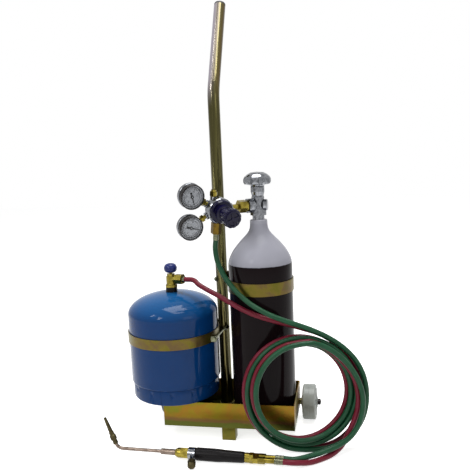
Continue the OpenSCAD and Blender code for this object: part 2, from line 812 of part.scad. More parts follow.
// The ring's top meets the bottle's rounded edge and leaves a narrow groove outside.
module butane_foot_ring() {
    top = foot_ring_h - 4;
    color("steelblue") at_butane(butane_z) rotate_extrude() polygon([
        [foot_r - 6, 0], [foot_r - 1.5, 0], [foot_r, 2], [foot_r, top - 1.5], [foot_r - 1, top],
        [foot_r - 2.2, top], [foot_r - 2.2, 4], [foot_r - 6, 2]
    ]);
}

module butane_valve_collar() {
    color("black") at_butane(butane_top) ring(13, tap_r - 3 + seat, collar_h);
}

module butane_valve_body() {
    color("goldenrod") {
        at_butane(butane_top - 10) cylinder(r = tap_r - 3 - seat, h = 11);
        at_butane(butane_top) cylinder(r = tap_r - 3 - seat, h = collar_h + 1);
        at_butane(tap_z) cylinder(r = tap_r + 3, h = 5, $fn = 8);
        at_butane(tap_z + 4) cylinder(r = tap_r, h = tap_h - 10);
        at_butane(tap_z + tap_h - 7) cylinder(r = tap_r - 2, h = 7);
        at_butane(tap_outlet_z) rotate([0, 0, tap_turn]) along_x() cylinder(r = 8, h = tap_nut_from);
        at_butane(tap_z + tap_h - 1) cylinder(r = tap_spindle_r, h = tap_knob_h - 4);
    }
}

module butane_valve_knob() {
    color("royalblue") at_butane(tap_knob_z)
        fluted_knob(tap_knob_r, tap_knob_h, 8, 5, tap_spindle_r + run_fit, 14, 4);
}

module butane_outlet_nut() {
    color("goldenrod") at_butane(tap_outlet_z) rotate([0, 0, tap_turn])
        translate([tap_nut_from, 0, 0]) along_x() rotate([0, 0, 30])
            cylinder(r = 12, h = tap_nut_len, $fn = 6);
}

// ---- Torch ----

module at_torch() { translate([0, torch_y, torch_z]) rotate([0, 0, torch_turn]) children(); }

module torch_grip() {
    color("black") at_torch() translate([grip_x, 0, 0]) along_x() difference() {
        rotate_extrude() polygon([
            [0, 0], [grip_r - 2, 0], [grip_r, 3], [grip_r, grip_l * 0.45], [grip_r - 1, grip_l * 0.6],
            [grip_r - 2, grip_l - 4], [grip_r - 4, grip_l], [0, grip_l]
        ]);
        for (i = [0 : 9])
            rotate([0, 0, 36 * i]) translate([grip_r + 0.6, 0, 8])
                cylinder(r = 1.4, h = grip_l - 18, $fn = 16);
    }
}

module at_torch_valve() {
    at_torch() translate([valve_stub_x, 0, 0])
        rotate([0, 0, valve_knob_lean]) rotate([90 + valve_knob_dip, 0, 0]) children();
}

module torch_valve_block() {
    color("goldenrod") {
        at_torch() translate([grip_x - block_len, 0, 0]) along_x() cylinder(r = block_r, h = block_len);
        at_torch_valve() cylinder(r = valve_stub_r, h = valve_knob_y - air);
        at_torch_valve() cylinder(r = valve_spindle_r, h = valve_knob_y + valve_knob_len - 4);
    }
}

module torch_valve_knob() {
    bore = valve_spindle_r + run_fit;
    color("saddlebrown") at_torch_valve() translate([0, 0, valve_knob_y])
        fluted_knob(valve_knob_r, valve_knob_len, 8, 2.4, bore, valve_knob_len - 3, 2);
}

module torch_front_nut() {
    color("goldenrod") at_torch() translate([lance_x, 0, 0]) along_x() difference() {
        union() {
            translate([0, 0, nose_len - 0.5])
                cylinder(r = 11.5, h = front_nut_len - nose_len + 0.5, $fn = 6);
            rotate_extrude() polygon([[0, 0], [7.5, 0], [10, 5], [10, nose_len], [0, nose_len]]);
        }
        translate([0, 0, -1]) cylinder(r = sleeve_r + seat, h = 9);
    }
}

module torch_lance() {
    color("peru") at_torch() {
        translate([lance_x - sleeve_len, 0, 0]) along_x() cylinder(r = sleeve_r, h = sleeve_len + 8);
        translate([lance_x - lance_len, 0, 0]) along_x() cylinder(r = lance_r, h = lance_len - sleeve_len);
        translate([lance_x - lance_len, 0, tip_bend_r]) rotate([-90, 90, 0])
            rotate_extrude(angle = tip_a) translate([tip_bend_r, 0]) circle(r = lance_r);
    }
}

module at_tip() {
    translate([lance_x - lance_len - tip_bend_r * sin(tip_a), 0, tip_bend_r * (1 - cos(tip_a))])
        rotate([0, tip_a - 90, 0]) children();
}

module torch_nozzle() {
    color("chocolate") at_torch() at_tip() rotate_extrude() polygon([
        [1, 0], [lance_r + 1, 0], [lance_r + 1, 8], [4.8, 12], [4.8, 20], [2.6, nozzle_len - 3],
        [2.2, nozzle_len], [1, nozzle_len]
    ]);
}

module torch_tail_block() {
    color("goldenrod") at_torch() translate([tail_x, 0, 0]) {
        along_x() cylinder(r = 10, h = collar_len);
        translate([collar_len, 0, 0]) along_x() rotate([0, 0, 30]) cylinder(r = 10.6, h = 8, $fn = 6);
        translate([collar_len + 7, -twin - 5, -5]) cube([tail_len - 7, 2 * twin + 10, 10]);
    }
}

module torch_hose_nuts() {
    color("goldenrod") at_torch() for (y = [-twin, twin]) translate([hose_nut_x, y, 0]) along_x() {
        rotate([0, 0, 30]) cylinder(r = 7, h = 14, $fn = 6);
        translate([0, 0, 13]) cylinder(r = 5, h = hose_nut_len - 13);
    }
}

// ---- Hoses ----

module hose_ferrules() {
    color("silver") {
        at_regulator() translate([0, 0, -outlet_nut_z - outlet_nut_h - ferrule_h])
            cylinder(r = hose_r + 0.8, h = ferrule_h);
        at_butane(tap_outlet_z) rotate([0, 0, tap_turn]) translate([tap_nut_from + tap_nut_len, 0, 0])
            along_x() cylinder(r = hose_r + 0.8, h = tap_ferrule);
        at_torch() for (y = [-twin, twin]) translate([hose_nut_x + hose_nut_len, y, 0])
            along_x() cylinder(r = hose_r + 0.6, h = torch_ferrule);
    }
}

// Places on the regulator, tap and torch where the hoses start, and the ways they leave
reg_exit = reg_mid - (outlet_nut_z + outlet_nut_h + ferrule_h + hose_seat) * reg_up;
tap_way = [cos(tap_turn), sin(tap_turn), 0];
tap_len = tap_nut_from + tap_nut_len + tap_ferrule + hose_seat;
tap_exit = [butane_x, bottle_y, tap_outlet_z] + tap_len * tap_way;
torch_way = [cos(torch_turn), sin(torch_turn), 0];
torch_side = [-sin(torch_turn), cos(torch_turn), 0];
torch_mid = [0, torch_y, torch_z] + (hose_x + hose_seat) * torch_way;

// Radius of a coil at an angle, and how far it has climbed to the front
function coil_r(a) = coil_in
    + (a < coil_back ? coil_pitch * (coil_back - a) : coil_open * (a - coil_back)) / 360;

function coil_climb(a) = let (t = min(1, max(0, (a - coil_back + 75) / 100)))
    2 * coil_pitch * t * t * (3 - 2 * t);

function coil_point(mid, a) = mid + coil_climb(a) * coil_front
    + coil_r(a) * (sin(a) * coil_right + cos(a) * coil_up);

function coil_way(a) = unit(coil_point([0, 0, 0], a + 0.5) - coil_point([0, 0, 0], a - 0.5));

coil_angles = [coil_from : 360 / coil_steps : coil_to];

function coil_start(mid) = coil_point(mid, coil_from) - hose_d * coil_way(coil_from);
function coil_end(mid) = coil_point(mid, coil_to) + hose_d * coil_way(coil_to);

function coil_path(mid) = concat(
    [coil_start(mid)], [for (a = coil_angles) coil_point(mid, a)], [coil_end(mid)]
);

function unit(v) = v / norm(v);

// Direction along a path at each point: its own at the ends, and halfway round each corner between
function ways(p) = let (n = len(p) - 1) [
    for (i = [0 : n]) unit(
        (i < n ? unit(p[i + 1] - p[i]) : [0, 0, 0]) + (i > 0 ? unit(p[i] - p[i - 1]) : [0, 0, 0])
    )
];

// Carries one side direction along the path without twist
function sides(way, i, last) = i == len(way) ? []
    : let (s = unit(last - (last * way[i]) * way[i])) concat([s], sides(way, i + 1, s));

// A round bar or hose along a path
module tube_along(path, r, count) {
    way = ways(path);
    side = sides(way, 0, abs(way[0].z) > 0.8 ? [1, 0, 0] : [0, 0.3, 1]);
    rings = [
        for (i = [0 : len(path) - 1])
            let (u = side[i], v = cross(way[i], u))
                for (k = [0 : count - 1])
                    path[i] + r * (cos(360 * k / count) * u + sin(360 * k / count) * v)
    ];
    last = (len(path) - 1) * count;
    polyhedron(points = rings, faces = concat(
        [[for (k = [0 : count - 1]) k]],
        [for (i = [0 : len(path) - 2], k = [0 : count - 1])
            let (a = i * count + k, b = i * count + (k + 1) % count) [a, a + count, b]],
        [for (i = [0 : len(path) - 2], k = [0 : count - 1])
            let (a = i * count + k, b = i * count + (k + 1) % count) [b, a + count, b + count]],
        [[for (k = [0 : count - 1]) last + count - 1 - k]]
    ), convexity = 10);
}

green_lead = concat([reg_exit, reg_exit - 2 * hose_d * reg_up], green_lead_points,
    [coil_start(green_mid) - hose_d * coil_way(coil_from), coil_start(green_mid)]);
red_lead = concat([tap_exit, tap_exit + 2 * hose_d * tap_way], red_lead_points,
    [coil_start(red_mid) - hose_d * coil_way(coil_from), coil_start(red_mid)]);
green_tail = concat([coil_end(green_mid), coil_end(green_mid) + hose_d * coil_way(coil_to)],
    green_tail_points,
    [torch_mid + twin * torch_side + 2 * hose_d * torch_way, torch_mid + twin * torch_side]);
red_tail = concat([coil_end(red_mid), coil_end(red_mid) + hose_d * coil_way(coil_to)],
    red_tail_points,
    [torch_mid - twin * torch_side + 2 * hose_d * torch_way, torch_mid - twin * torch_side]);

module green_hose_lead() { color("darkgreen") tube_along(green_lead, hose_r, 8); }
module green_hose_coil() { color("darkgreen") tube_along(coil_path(green_mid), hose_r, 6); }
module green_hose_tail() { color("darkgreen") tube_along(green_tail, hose_r, 8); }
module red_hose_lead() { color("maroon") tube_along(red_lead, hose_r, 8); }
module red_hose_coil() { color("maroon") tube_along(coil_path(red_mid), hose_r, 6); }
module red_hose_tail() { color("maroon") tube_along(red_tail, hose_r, 8); }

// Least distance of a coil's middle line to itself, half a turn or more away, less the diameter
coil_line = coil_path(green_mid);
coil_gap = min([
    for (i = [0 : len(coil_line) - 1], j = [i + coil_steps / 2 : 1 : len(coil_line) - 1])
        norm(coil_line[i] - coil_line[j])
]) - hose_d;
echo(str("least gap between the turns of a coil: ", coil_gap, " mm"));

tray();
front_foot();
axle_bolts();
axle_spacers();
axle_nuts();
wheel_left();
wheel_right();
handle_tube();
tube_cap();
oxygen_strap();
butane_strap();
strap_bolts();
oxygen_cylinder();
oxygen_neck_ring();
oxygen_valve_body();
oxygen_valve_bonnet();
oxygen_valve_spindle();
oxygen_handwheel();
regulator_inlet_stem();
regulator_inlet_nut();
regulator_body();
regulator_ring_nut();
regulator_bonnet();
regulator_diaphragm();
regulator_spring();
regulator_screw();
regulator_knob();
regulator_relief_valve();
regulator_outlet_nut();
gauge_stems();
high_gauge_case();
high_gauge_dial();
high_gauge_needle();
high_gauge_window();
low_gauge_case();
low_gauge_dial();
low_gauge_needle();
low_gauge_window();
butane_bottle();
butane_foot_ring();
butane_valve_collar();
butane_valve_body();
butane_valve_knob();
butane_outlet_nut();
hose_ferrules();
torch_grip();
torch_valve_block();
torch_valve_knob();
torch_front_nut();
torch_lance();
torch_nozzle();
torch_tail_block();
torch_hose_nuts();
green_hose_lead();
green_hose_coil();
green_hose_tail();
red_hose_lead();
red_hose_coil();
red_hose_tail();
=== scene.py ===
import json
import math

import bmesh
import bpy
from mathutils import Matrix, Vector


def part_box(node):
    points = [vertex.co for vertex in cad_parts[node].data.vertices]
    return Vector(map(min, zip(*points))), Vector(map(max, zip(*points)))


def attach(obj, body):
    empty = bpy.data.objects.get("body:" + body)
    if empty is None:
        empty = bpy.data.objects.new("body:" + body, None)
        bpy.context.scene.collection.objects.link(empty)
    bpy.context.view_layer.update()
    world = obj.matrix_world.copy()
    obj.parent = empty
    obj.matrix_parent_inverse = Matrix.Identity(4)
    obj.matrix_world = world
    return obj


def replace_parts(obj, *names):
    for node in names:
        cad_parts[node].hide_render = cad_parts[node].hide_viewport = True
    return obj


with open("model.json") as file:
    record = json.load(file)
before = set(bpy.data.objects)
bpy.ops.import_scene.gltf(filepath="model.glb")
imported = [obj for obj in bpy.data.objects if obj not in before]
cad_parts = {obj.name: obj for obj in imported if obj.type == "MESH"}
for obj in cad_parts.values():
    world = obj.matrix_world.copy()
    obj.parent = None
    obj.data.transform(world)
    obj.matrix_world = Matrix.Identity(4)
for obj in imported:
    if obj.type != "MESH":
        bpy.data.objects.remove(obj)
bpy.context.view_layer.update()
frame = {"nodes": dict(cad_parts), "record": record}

scene = bpy.context.scene
scene.view_settings.view_transform = "Standard"
nodes = frame["nodes"]

# ---- measures, in millimetres ---------------------------------------------
MM = 0.001
UP = Vector((0, 0, 1))
HOSE_D = 11.0
TUBE_X, TUBE_Y, TUBE_R = -28.455, 117.5, 13.5
BOTTLE_PLACE = Vector((-133.485, 60.5, 84))

# ---- camera ---------------------------------------------------------------
VIEW_WIDE = 470         # pixels
FOCAL = 597.75          # pixels, for a view of that width
SENSOR = 36.0
CAMERA_PLACE = (269.6, -1214.8, 625.4)
YAW, PITCH, ROLL = math.radians(11.14), math.radians(7.995), math.radians(-2.445)

look = Vector((-math.sin(YAW) * math.cos(PITCH), math.cos(YAW) * math.cos(PITCH),
               -math.sin(PITCH)))
level = Vector((math.cos(YAW), math.sin(YAW), 0))
upward = level.cross(look)
across = math.cos(ROLL) * level + math.sin(ROLL) * upward
above = -math.sin(ROLL) * level + math.cos(ROLL) * upward
camera_data = bpy.data.cameras.new("camera")
camera_data.sensor_width = SENSOR
camera_data.lens = FOCAL * SENSOR / VIEW_WIDE
camera = bpy.data.objects.new("camera", camera_data)
scene.collection.objects.link(camera)
camera.matrix_world = Matrix.Translation(Vector(CAMERA_PLACE) * MM) @ Matrix(
    (across, above, -look)).transposed().to_4x4()
scene.camera = camera


# ---- hoses ----------------------------------------------------------------
# Each hose starts at the floor, draws in turn by turn, climbs to the front and opens out again.
COIL_PITCH = 11.6
COIL_FROM, COIL_BACK, COIL_TO = 180, 925, 1080      # degrees along the turns
COIL_STEP = 15                                      # degrees from one point to the next
CLIMB_LEAD, CLIMB_SPAN = 75, 100                    # degrees before COIL_BACK, and in all
COIL_IN, COIL_OPEN = 95, 24                         # least radius, and its gain per turn
COIL_TURN, COIL_LEAN = math.radians(12), math.radians(7)
FLOOR_GAP = 0.9
RED_ASIDE, RED_LIFT = 6, 1.2                        # the red coil against the green one
TWIN = 6.5                                          # half of the hoses' spacing at the torch
COIL_OUT = COIL_IN + COIL_PITCH * (COIL_BACK - COIL_FROM) / 360
coil_right = Vector((math.cos(COIL_TURN), math.sin(COIL_TURN), 0))
coil_up = Vector((-math.sin(COIL_TURN) * math.sin(COIL_LEAN),
                  math.cos(COIL_TURN) * math.sin(COIL_LEAN), math.cos(COIL_LEAN)))
coil_front = coil_right.cross(coil_up)
green_mid = Vector((167, -33, COIL_OUT * math.cos(COIL_LEAN) + HOSE_D / 2 + FLOOR_GAP))
red_mid = green_mid - COIL_PITCH * coil_front - RED_ASIDE * coil_right + RED_LIFT * UP


def coil_point(middle, angle):
    """A point of a wound hose, in millimetres, at that angle along its turns."""
    drawn_in, opened = COIL_PITCH * (COIL_BACK - angle), COIL_OPEN * (angle - COIL_BACK)
    spread = drawn_in if angle < COIL_BACK else opened
    t = min(1, max(0, (angle - COIL_BACK + CLIMB_LEAD) / CLIMB_SPAN))
    climb = 2 * COIL_PITCH * t * t * (3 - 2 * t)
    a = math.radians(angle)
    return middle + climb * coil_front + (COIL_IN + spread / 360) * (
        math.sin(a) * coil_right + math.cos(a) * coil_up)


def coil_way(middle, angle):
    """The way in which a wound hose runs at an angle."""
    return (coil_point(middle, angle + 0.5) - coil_point(middle, angle - 0.5)).normalized()


# Free stretches, in millimetres: from the fitting to the coil, and from the coil to the torch.
GREEN_LEAD = [
    (-11, 9, 390), (5, 0, 361), (28, -11, 335), (54, -20, 314), (78, -27, 300), (103, -31, 288),
    (129, -31, 278), (156, -28, 268), (183, -23, 257), (209, -15, 243), (234, -7, 226),
    (257, -3, 206), (276, -3, 183), (289, -3, 155), (295, -6, 125), (294, -10, 94), (286, -15, 65),
    (270, -22, 40), (248, -30, 21), (220, -37, 9)]
RED_LEAD = [
    (-61, 30, 338), (-39, 19, 329), (-13, 8, 319), (13, -2, 307), (43, -12, 294), (73, -18, 283),
    (105, -19, 274), (138, -17, 265), (170, -13, 255), (198, -6, 244), (223, 2, 228), (246, 7, 208),
    (266, 7, 184), (280, 7, 156), (287, 4, 126), (286, 1, 96), (278, -5, 66), (262, -11, 40),
    (240, -19, 20), (211, -27, 8)]
GREEN_TAIL = [
    (216, -34, 223), (243, -31, 203), (264, -29, 179), (279, -30, 152), (287, -32, 122),
    (286, -36, 91), (278, -42, 64), (262, -50, 42), (240, -60, 28), (213, -71, 19), (185, -84, 14)]
RED_TAIL = [
    (207, -24, 223), (232, -21, 204), (253, -19, 183), (269, -19, 157), (277, -21, 129),
    (278, -24, 100), (271, -30, 72), (258, -36, 44), (245, -43, 20), (227, -59, 8), (205, -80, 6),
    (181, -99, 7)]

# The regulator is turned and tipped forward, and the tap and the torch are turned.
REG_TURN, REG_TIP = math.radians(38), math.radians(12)
TAP_TURN = math.radians(-18)
TORCH_TURN = math.radians(-2)
reg_up = Vector((math.sin(REG_TURN) * math.sin(REG_TIP), -math.cos(REG_TURN) * math.sin(REG_TIP),
                 math.cos(REG_TIP)))
tap_way = Vector((math.cos(TAP_TURN), math.sin(TAP_TURN), 0))
torch_way = Vector((math.cos(TORCH_TURN), math.sin(TORCH_TURN), 0))
torch_side = Vector((-math.sin(TORCH_TURN), math.cos(TORCH_TURN), 0))
REG_EXIT = Vector((-14.083, 11.503, 440.108))
TAP_EXIT = Vector((-97.155, 48.696, 346))
TORCH_END = Vector((130.121, -107.544, 13.1))


def hose_route(middle, start, way, lead, tail, torch_end):
    """A hose from its fitting, down to the floor, round the coil and back to the torch."""
    entry = coil_point(middle, COIL_FROM) - HOSE_D * coil_way(middle, COIL_FROM)
    leave = coil_point(middle, COIL_TO) + HOSE_D * coil_way(middle, COIL_TO)
    turns = [coil_point(middle, a) for a in range(COIL_FROM, COIL_TO + 1, COIL_STEP)]
    return [
        start, start + 2 * HOSE_D * way, *[Vector(p) for p in lead],
        entry - HOSE_D * coil_way(middle, COIL_FROM), entry, *turns, leave,
        leave + HOSE_D * coil_way(middle, COIL_TO), *[Vector(p) for p in tail],
        torch_end + 2 * HOSE_D * torch_way, torch_end]


def hose(name, route):
    """A round hose on one open curve through those points."""
    curve = bpy.data.curves.new(name, "CURVE")
    curve.dimensions = "3D"
    # The points carry the hose's radius, because Blender's box round a curve is measured with it.
    curve.bevel_depth = 1.0
    curve.bevel_resolution = 5
    curve.resolution_u = 4
    curve.use_fill_caps = True
    spline = curve.splines.new("BEZIER")
    spline.bezier_points.add(len(route) - 1)
    last = len(route) - 1
    for i, point in enumerate(spline.bezier_points):
        before, here, after = route[max(i - 1, 0)], route[i], route[min(i + 1, last)]
        way = (after - before).normalized()
        point.co = here * MM
        point.radius = HOSE_D / 2 * MM
        point.handle_left_type = point.handle_right_type = "FREE"
        point.handle_left = (here - way * (here - before).length / 3) * MM
        point.handle_right = (here + way * (after - here).length / 3) * MM
    piece = bpy.data.objects.new(name, curve)
    scene.collection.objects.link(piece)
    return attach(piece, "cart")


green_hose = hose("green_hose", hose_route(
    green_mid, REG_EXIT, -reg_up, GREEN_LEAD, GREEN_TAIL, TORCH_END + TWIN * torch_side))
red_hose = hose("red_hose", hose_route(
    red_mid, TAP_EXIT, tap_way, RED_LEAD, RED_TAIL, TORCH_END - TWIN * torch_side))
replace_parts(green_hose, "green_hose_lead", "green_hose_coil", "green_hose_tail")
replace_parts(red_hose, "red_hose_lead", "red_hose_coil", "red_hose_tail")


# ---- finishes -------------------------------------------------------------
def linear(code):
    """The linear colour of an sRGB hex value."""
    parts = [int(code[i:i + 2], 16) / 255 for i in (0, 2, 4)]
    return (*[v / 12.92 if v <= 0.04045 else ((v + 0.055) / 1.055) ** 2.4 for v in parts], 1.0)


def add(material, kind, sockets, stops=(), **settings):
    """Adds one shader node with its settings, its ramp's stops, and each socket's value or link."""
    node = material.node_tree.nodes.new("ShaderNode" + kind)
    for name, value in settings.items():
        setattr(node, name, value)
    for place, (position, colour) in enumerate(stops):
        ramp = node.color_ramp.elements
        element = ramp[place] if place < 2 else ramp.new(position)
        element.position = position
        element.color = linear(colour)
    for name, value in sockets.items():
        if isinstance(value, bpy.types.NodeSocket):
            material.node_tree.links.new(value, node.inputs[name])
        else:
            node.inputs[name].default_value = value
    return node


def finish(name, **sockets):
    """A new material and its shader; each named socket of the shader gets its constant."""
    material = bpy.data.materials.new(name)
    material.use_nodes = True
    shader = material.node_tree.nodes["Principled BSDF"]
    for socket, value in sockets.items():
        shader.inputs[socket.replace("_", " ")].default_value = (
            linear(value) if isinstance(value, str) else value)
    return material, shader


def link(material, output, shader, socket):
    """Joins an output to a shader's socket."""
    material.node_tree.links.new(output, shader.inputs[socket])


def dulled(material, shader, pattern, low, high):
    """Lets the shine follow a pattern, between two roughnesses."""
    span = add(material, "MapRange", {"Value": pattern, 3: low, 4: high})
    link(material, span.outputs[0], shader, "Roughness")


def uneven(material, shader, coordinates, size_mm, height_mm, detail=2.0):
    """Makes a surface uneven, with bumps of that size and height, and gives their pattern."""
    noise = add(material, "TexNoise", {"Vector": coordinates, "Scale": 1000 / size_mm,
                                       "Detail": detail})
    bump = add(material, "Bump", {"Height": noise.outputs["Fac"], "Distance": height_mm * MM,
                                  "Strength": 1.0})
    link(material, bump.outputs["Normal"], shader, "Normal")
    return noise.outputs["Fac"]


# Yellow passivated zinc plate: a thin golden film over bright zinc that drifts to green, copper
# and violet where the bath left it thicker. It gives soft coloured clouds under a satin shine.
def plated(name, stops, cloud_mm, roughness, stretch=(1.0, 1.0, 1.0), drained=(), painted_side_reflection=()):
    material, shader = finish(name, Metallic=0.85)
    place = add(material, "TexCoord", {}).outputs["Object"]
    spread = add(material, "Mapping", {"Vector": place, "Scale": stretch}).outputs["Vector"]
    cloud = add(material, "TexNoise", {"Vector": spread, "Scale": 1000 / cloud_mm, "Detail": 3.0,
                                       "Roughness": 0.55, "Distortion": 0.5}).outputs["Fac"]
    tint = add(material, "ValToRGB", {"Fac": cloud}, stops=stops).outputs["Color"]
    if drained:
        # The bath drains to the lower edge, so the film there turns violet and then olive.
        height = add(material, "SeparateXYZ", {"Vector": place}).outputs["Z"]
        wave = add(material, "Math", {0: cloud, 1: 12 * MM}, operation="MULTIPLY").outputs[0]
        level_at = add(material, "Math", {0: height, 1: wave}, operation="SUBTRACT").outputs[0]
        for low, high, colour in drained:
            band = add(material, "MapRange", {"Value": level_at, 1: low * MM, 2: high * MM},
                       interpolation_type="SMOOTHSTEP").outputs[0]
            tint = add(material, "Mix", {0: band, 6: linear(colour), 7: tint},
                       data_type="RGBA").outputs[2]
    if painted_side_reflection:
        # Painted reflection across the grip: violet, silver, then olive darkening to its right
        # side.
        # It starts at 720 mm up and is full at 800 mm, where 8 percent of the plate's clouds show.
        sides = add(material, "SeparateXYZ", {"Vector": place}).outputs
        turn = add(material, "MapRange", {"Value": sides["X"], 1: (TUBE_X - TUBE_R) * MM,
                                          2: (TUBE_X + TUBE_R) * MM}).outputs[0]
        reflection_tint = add(material, "ValToRGB", {"Fac": turn}, stops=painted_side_reflection).outputs["Color"]
        reach = add(material, "MapRange", {"Value": sides["Z"], 1: 720 * MM, 2: 800 * MM},
                    interpolation_type="SMOOTHSTEP").outputs[0]
        reflection_share = add(material, "Math", {0: reach, 1: 0.92}, operation="MULTIPLY").outputs[0]
        tint = add(material, "Mix", {0: reflection_share, 6: tint, 7: reflection_tint}, data_type="RGBA").outputs[2]
    link(material, tint, shader, "Base Color")
    # Rolling and drawing leave lines 1 mm apart that blur the shine along them.
    lines = add(material, "Mapping", {"Vector": place, "Scale": (1.0, 1.0, 0.1)}).outputs["Vector"]
    height = uneven(material, shader, lines, 1.1, 0.012)
    dulled(material, shader, height, roughness - 0.06, roughness + 0.08)
    return material


# Chrome or nickel plate over forged brass: bright, slightly softened by the forging under it.
def plating(name, bright, dim, roughness, wave_mm, depth_mm):
    material, shader = finish(name, Metallic=1.0)
    place = add(material, "TexCoord", {}).outputs["Object"]
    height = uneven(material, shader, place, wave_mm, depth_mm)
    tint = add(material, "ValToRGB", {"Fac": height}, stops=((0.35, bright), (0.65, dim)))
    link(material, tint.outputs["Color"], shader, "Base Color")
    dulled(material, shader, height, roughness * 0.8, roughness * 1.3)
    return material


# Turned and drawn metal left bare: brass and copper that dull in patches.
def bare_metal(name, bright, dull, roughness, patch_mm):
    material, shader = finish(name, Metallic=1.0)
    place = add(material, "TexCoord", {}).outputs["Object"]
    patch = add(material, "TexNoise", {"Vector": place, "Scale": 1000 / patch_mm, "Detail": 4.0,
                                       "Distortion": 0.4}).outputs["Fac"]
    tint = add(material, "ValToRGB", {"Fac": patch}, stops=((0.35, bright), (0.68, dull)))
    link(material, tint.outputs["Color"], shader, "Base Color")
    dulled(material, shader, patch, roughness * 0.8, roughness * 1.5)
    uneven(material, shader, place, 0.7, 0.012, 1.0)
    return material


# Sprayed enamel: a wet gloss with the orange peel that a spray gun leaves, and a slow drift of
# its colour over patches of some 70 mm.
def enamel(name, colour, shade, roughness, peel_mm, peel_depth_mm, shine, cap=None):
    material, shader = finish(name, Specular_IOR_Level=shine)
    place = add(material, "TexCoord", {}).outputs["Object"]
    drift = add(material, "TexNoise", {"Vector": place, "Scale": 14.0,
                                       "Detail": 3.0}).outputs["Fac"]
    tint = add(material, "Mix", {0: drift, 6: linear(colour), 7: linear(shade)},
               data_type="RGBA").outputs[2]
    if cap:
        # Above a level the colour changes, with an edge that wavers by about a millimetre
        # every 8 mm: on the cylinder a masked-off grey coat, and on the bottle a painted
        # highlight, a paler blue where the top lamp falls on its dome.
        level, fade, upper, upper_shade = cap
        height = add(material, "SeparateXYZ", {"Vector": place}).outputs["Z"]
        edge = add(material, "TexNoise", {"Vector": place, "Scale": 120.0,
                                          "Detail": 1.0}).outputs["Fac"]
        wave = add(material, "Math", {0: edge, 1: 1.2 * MM}, operation="MULTIPLY").outputs[0]
        level_at = add(material, "Math", {0: height, 1: wave}, operation="SUBTRACT").outputs[0]
        band = add(material, "MapRange", {"Value": level_at, 1: (level - fade) * MM,
                                          2: (level + fade) * MM}).outputs[0]
        over = add(material, "Mix", {0: drift, 6: linear(upper), 7: linear(upper_shade)},
                   data_type="RGBA").outputs[2]
        tint = add(material, "Mix", {0: band, 6: tint, 7: over}, data_type="RGBA").outputs[2]
    link(material, tint, shader, "Base Color")
    dulled(material, shader, drift, roughness * 0.8, roughness * 1.2)
    uneven(material, shader, place, peel_mm, peel_depth_mm, 1.0)
    return material


# Moulded plastic and rubber: even colour, a fine matt grain, duller in patches of some 20 mm
# where hands wear it.
def moulded(name, colour, shade, roughness, grain_mm, depth_mm, **more):
    material, shader = finish(name, **more)
    place = add(material, "TexCoord", {}).outputs["Object"]
    drift = add(material, "TexNoise", {"Vector": place, "Scale": 45.0,
                                       "Detail": 3.0}).outputs["Fac"]
    tint = add(material, "Mix", {0: drift, 6: linear(colour), 7: linear(shade)}, data_type="RGBA")
    link(material, tint.outputs[2], shader, "Base Color")
    dulled(material, shader, drift, roughness * 0.8, roughness * 1.25)
    uneven(material, shader, place, grain_mm, depth_mm)
    return material


# Welding hose: smooth extruded rubber with a dusty bloom in patches of some 15 mm.
def rubber_hose(name, colour, bloom):
    material, shader = finish(name, Specular_IOR_Level=0.25)
    place = add(material, "TexCoord", {}).outputs["Object"]
    dust = add(material, "TexNoise", {"Vector": place, "Scale": 60.0, "Detail": 4.0}).outputs["Fac"]
    tint = add(material, "ValToRGB", {"Fac": dust}, stops=((0.42, colour), (0.85, bloom)))
    link(material, tint.outputs["Color"], shader, "Base Color")
    dulled(material, shader, dust, 0.3, 0.5)
    uneven(material, shader, place, 1.2, 0.04)
    return material


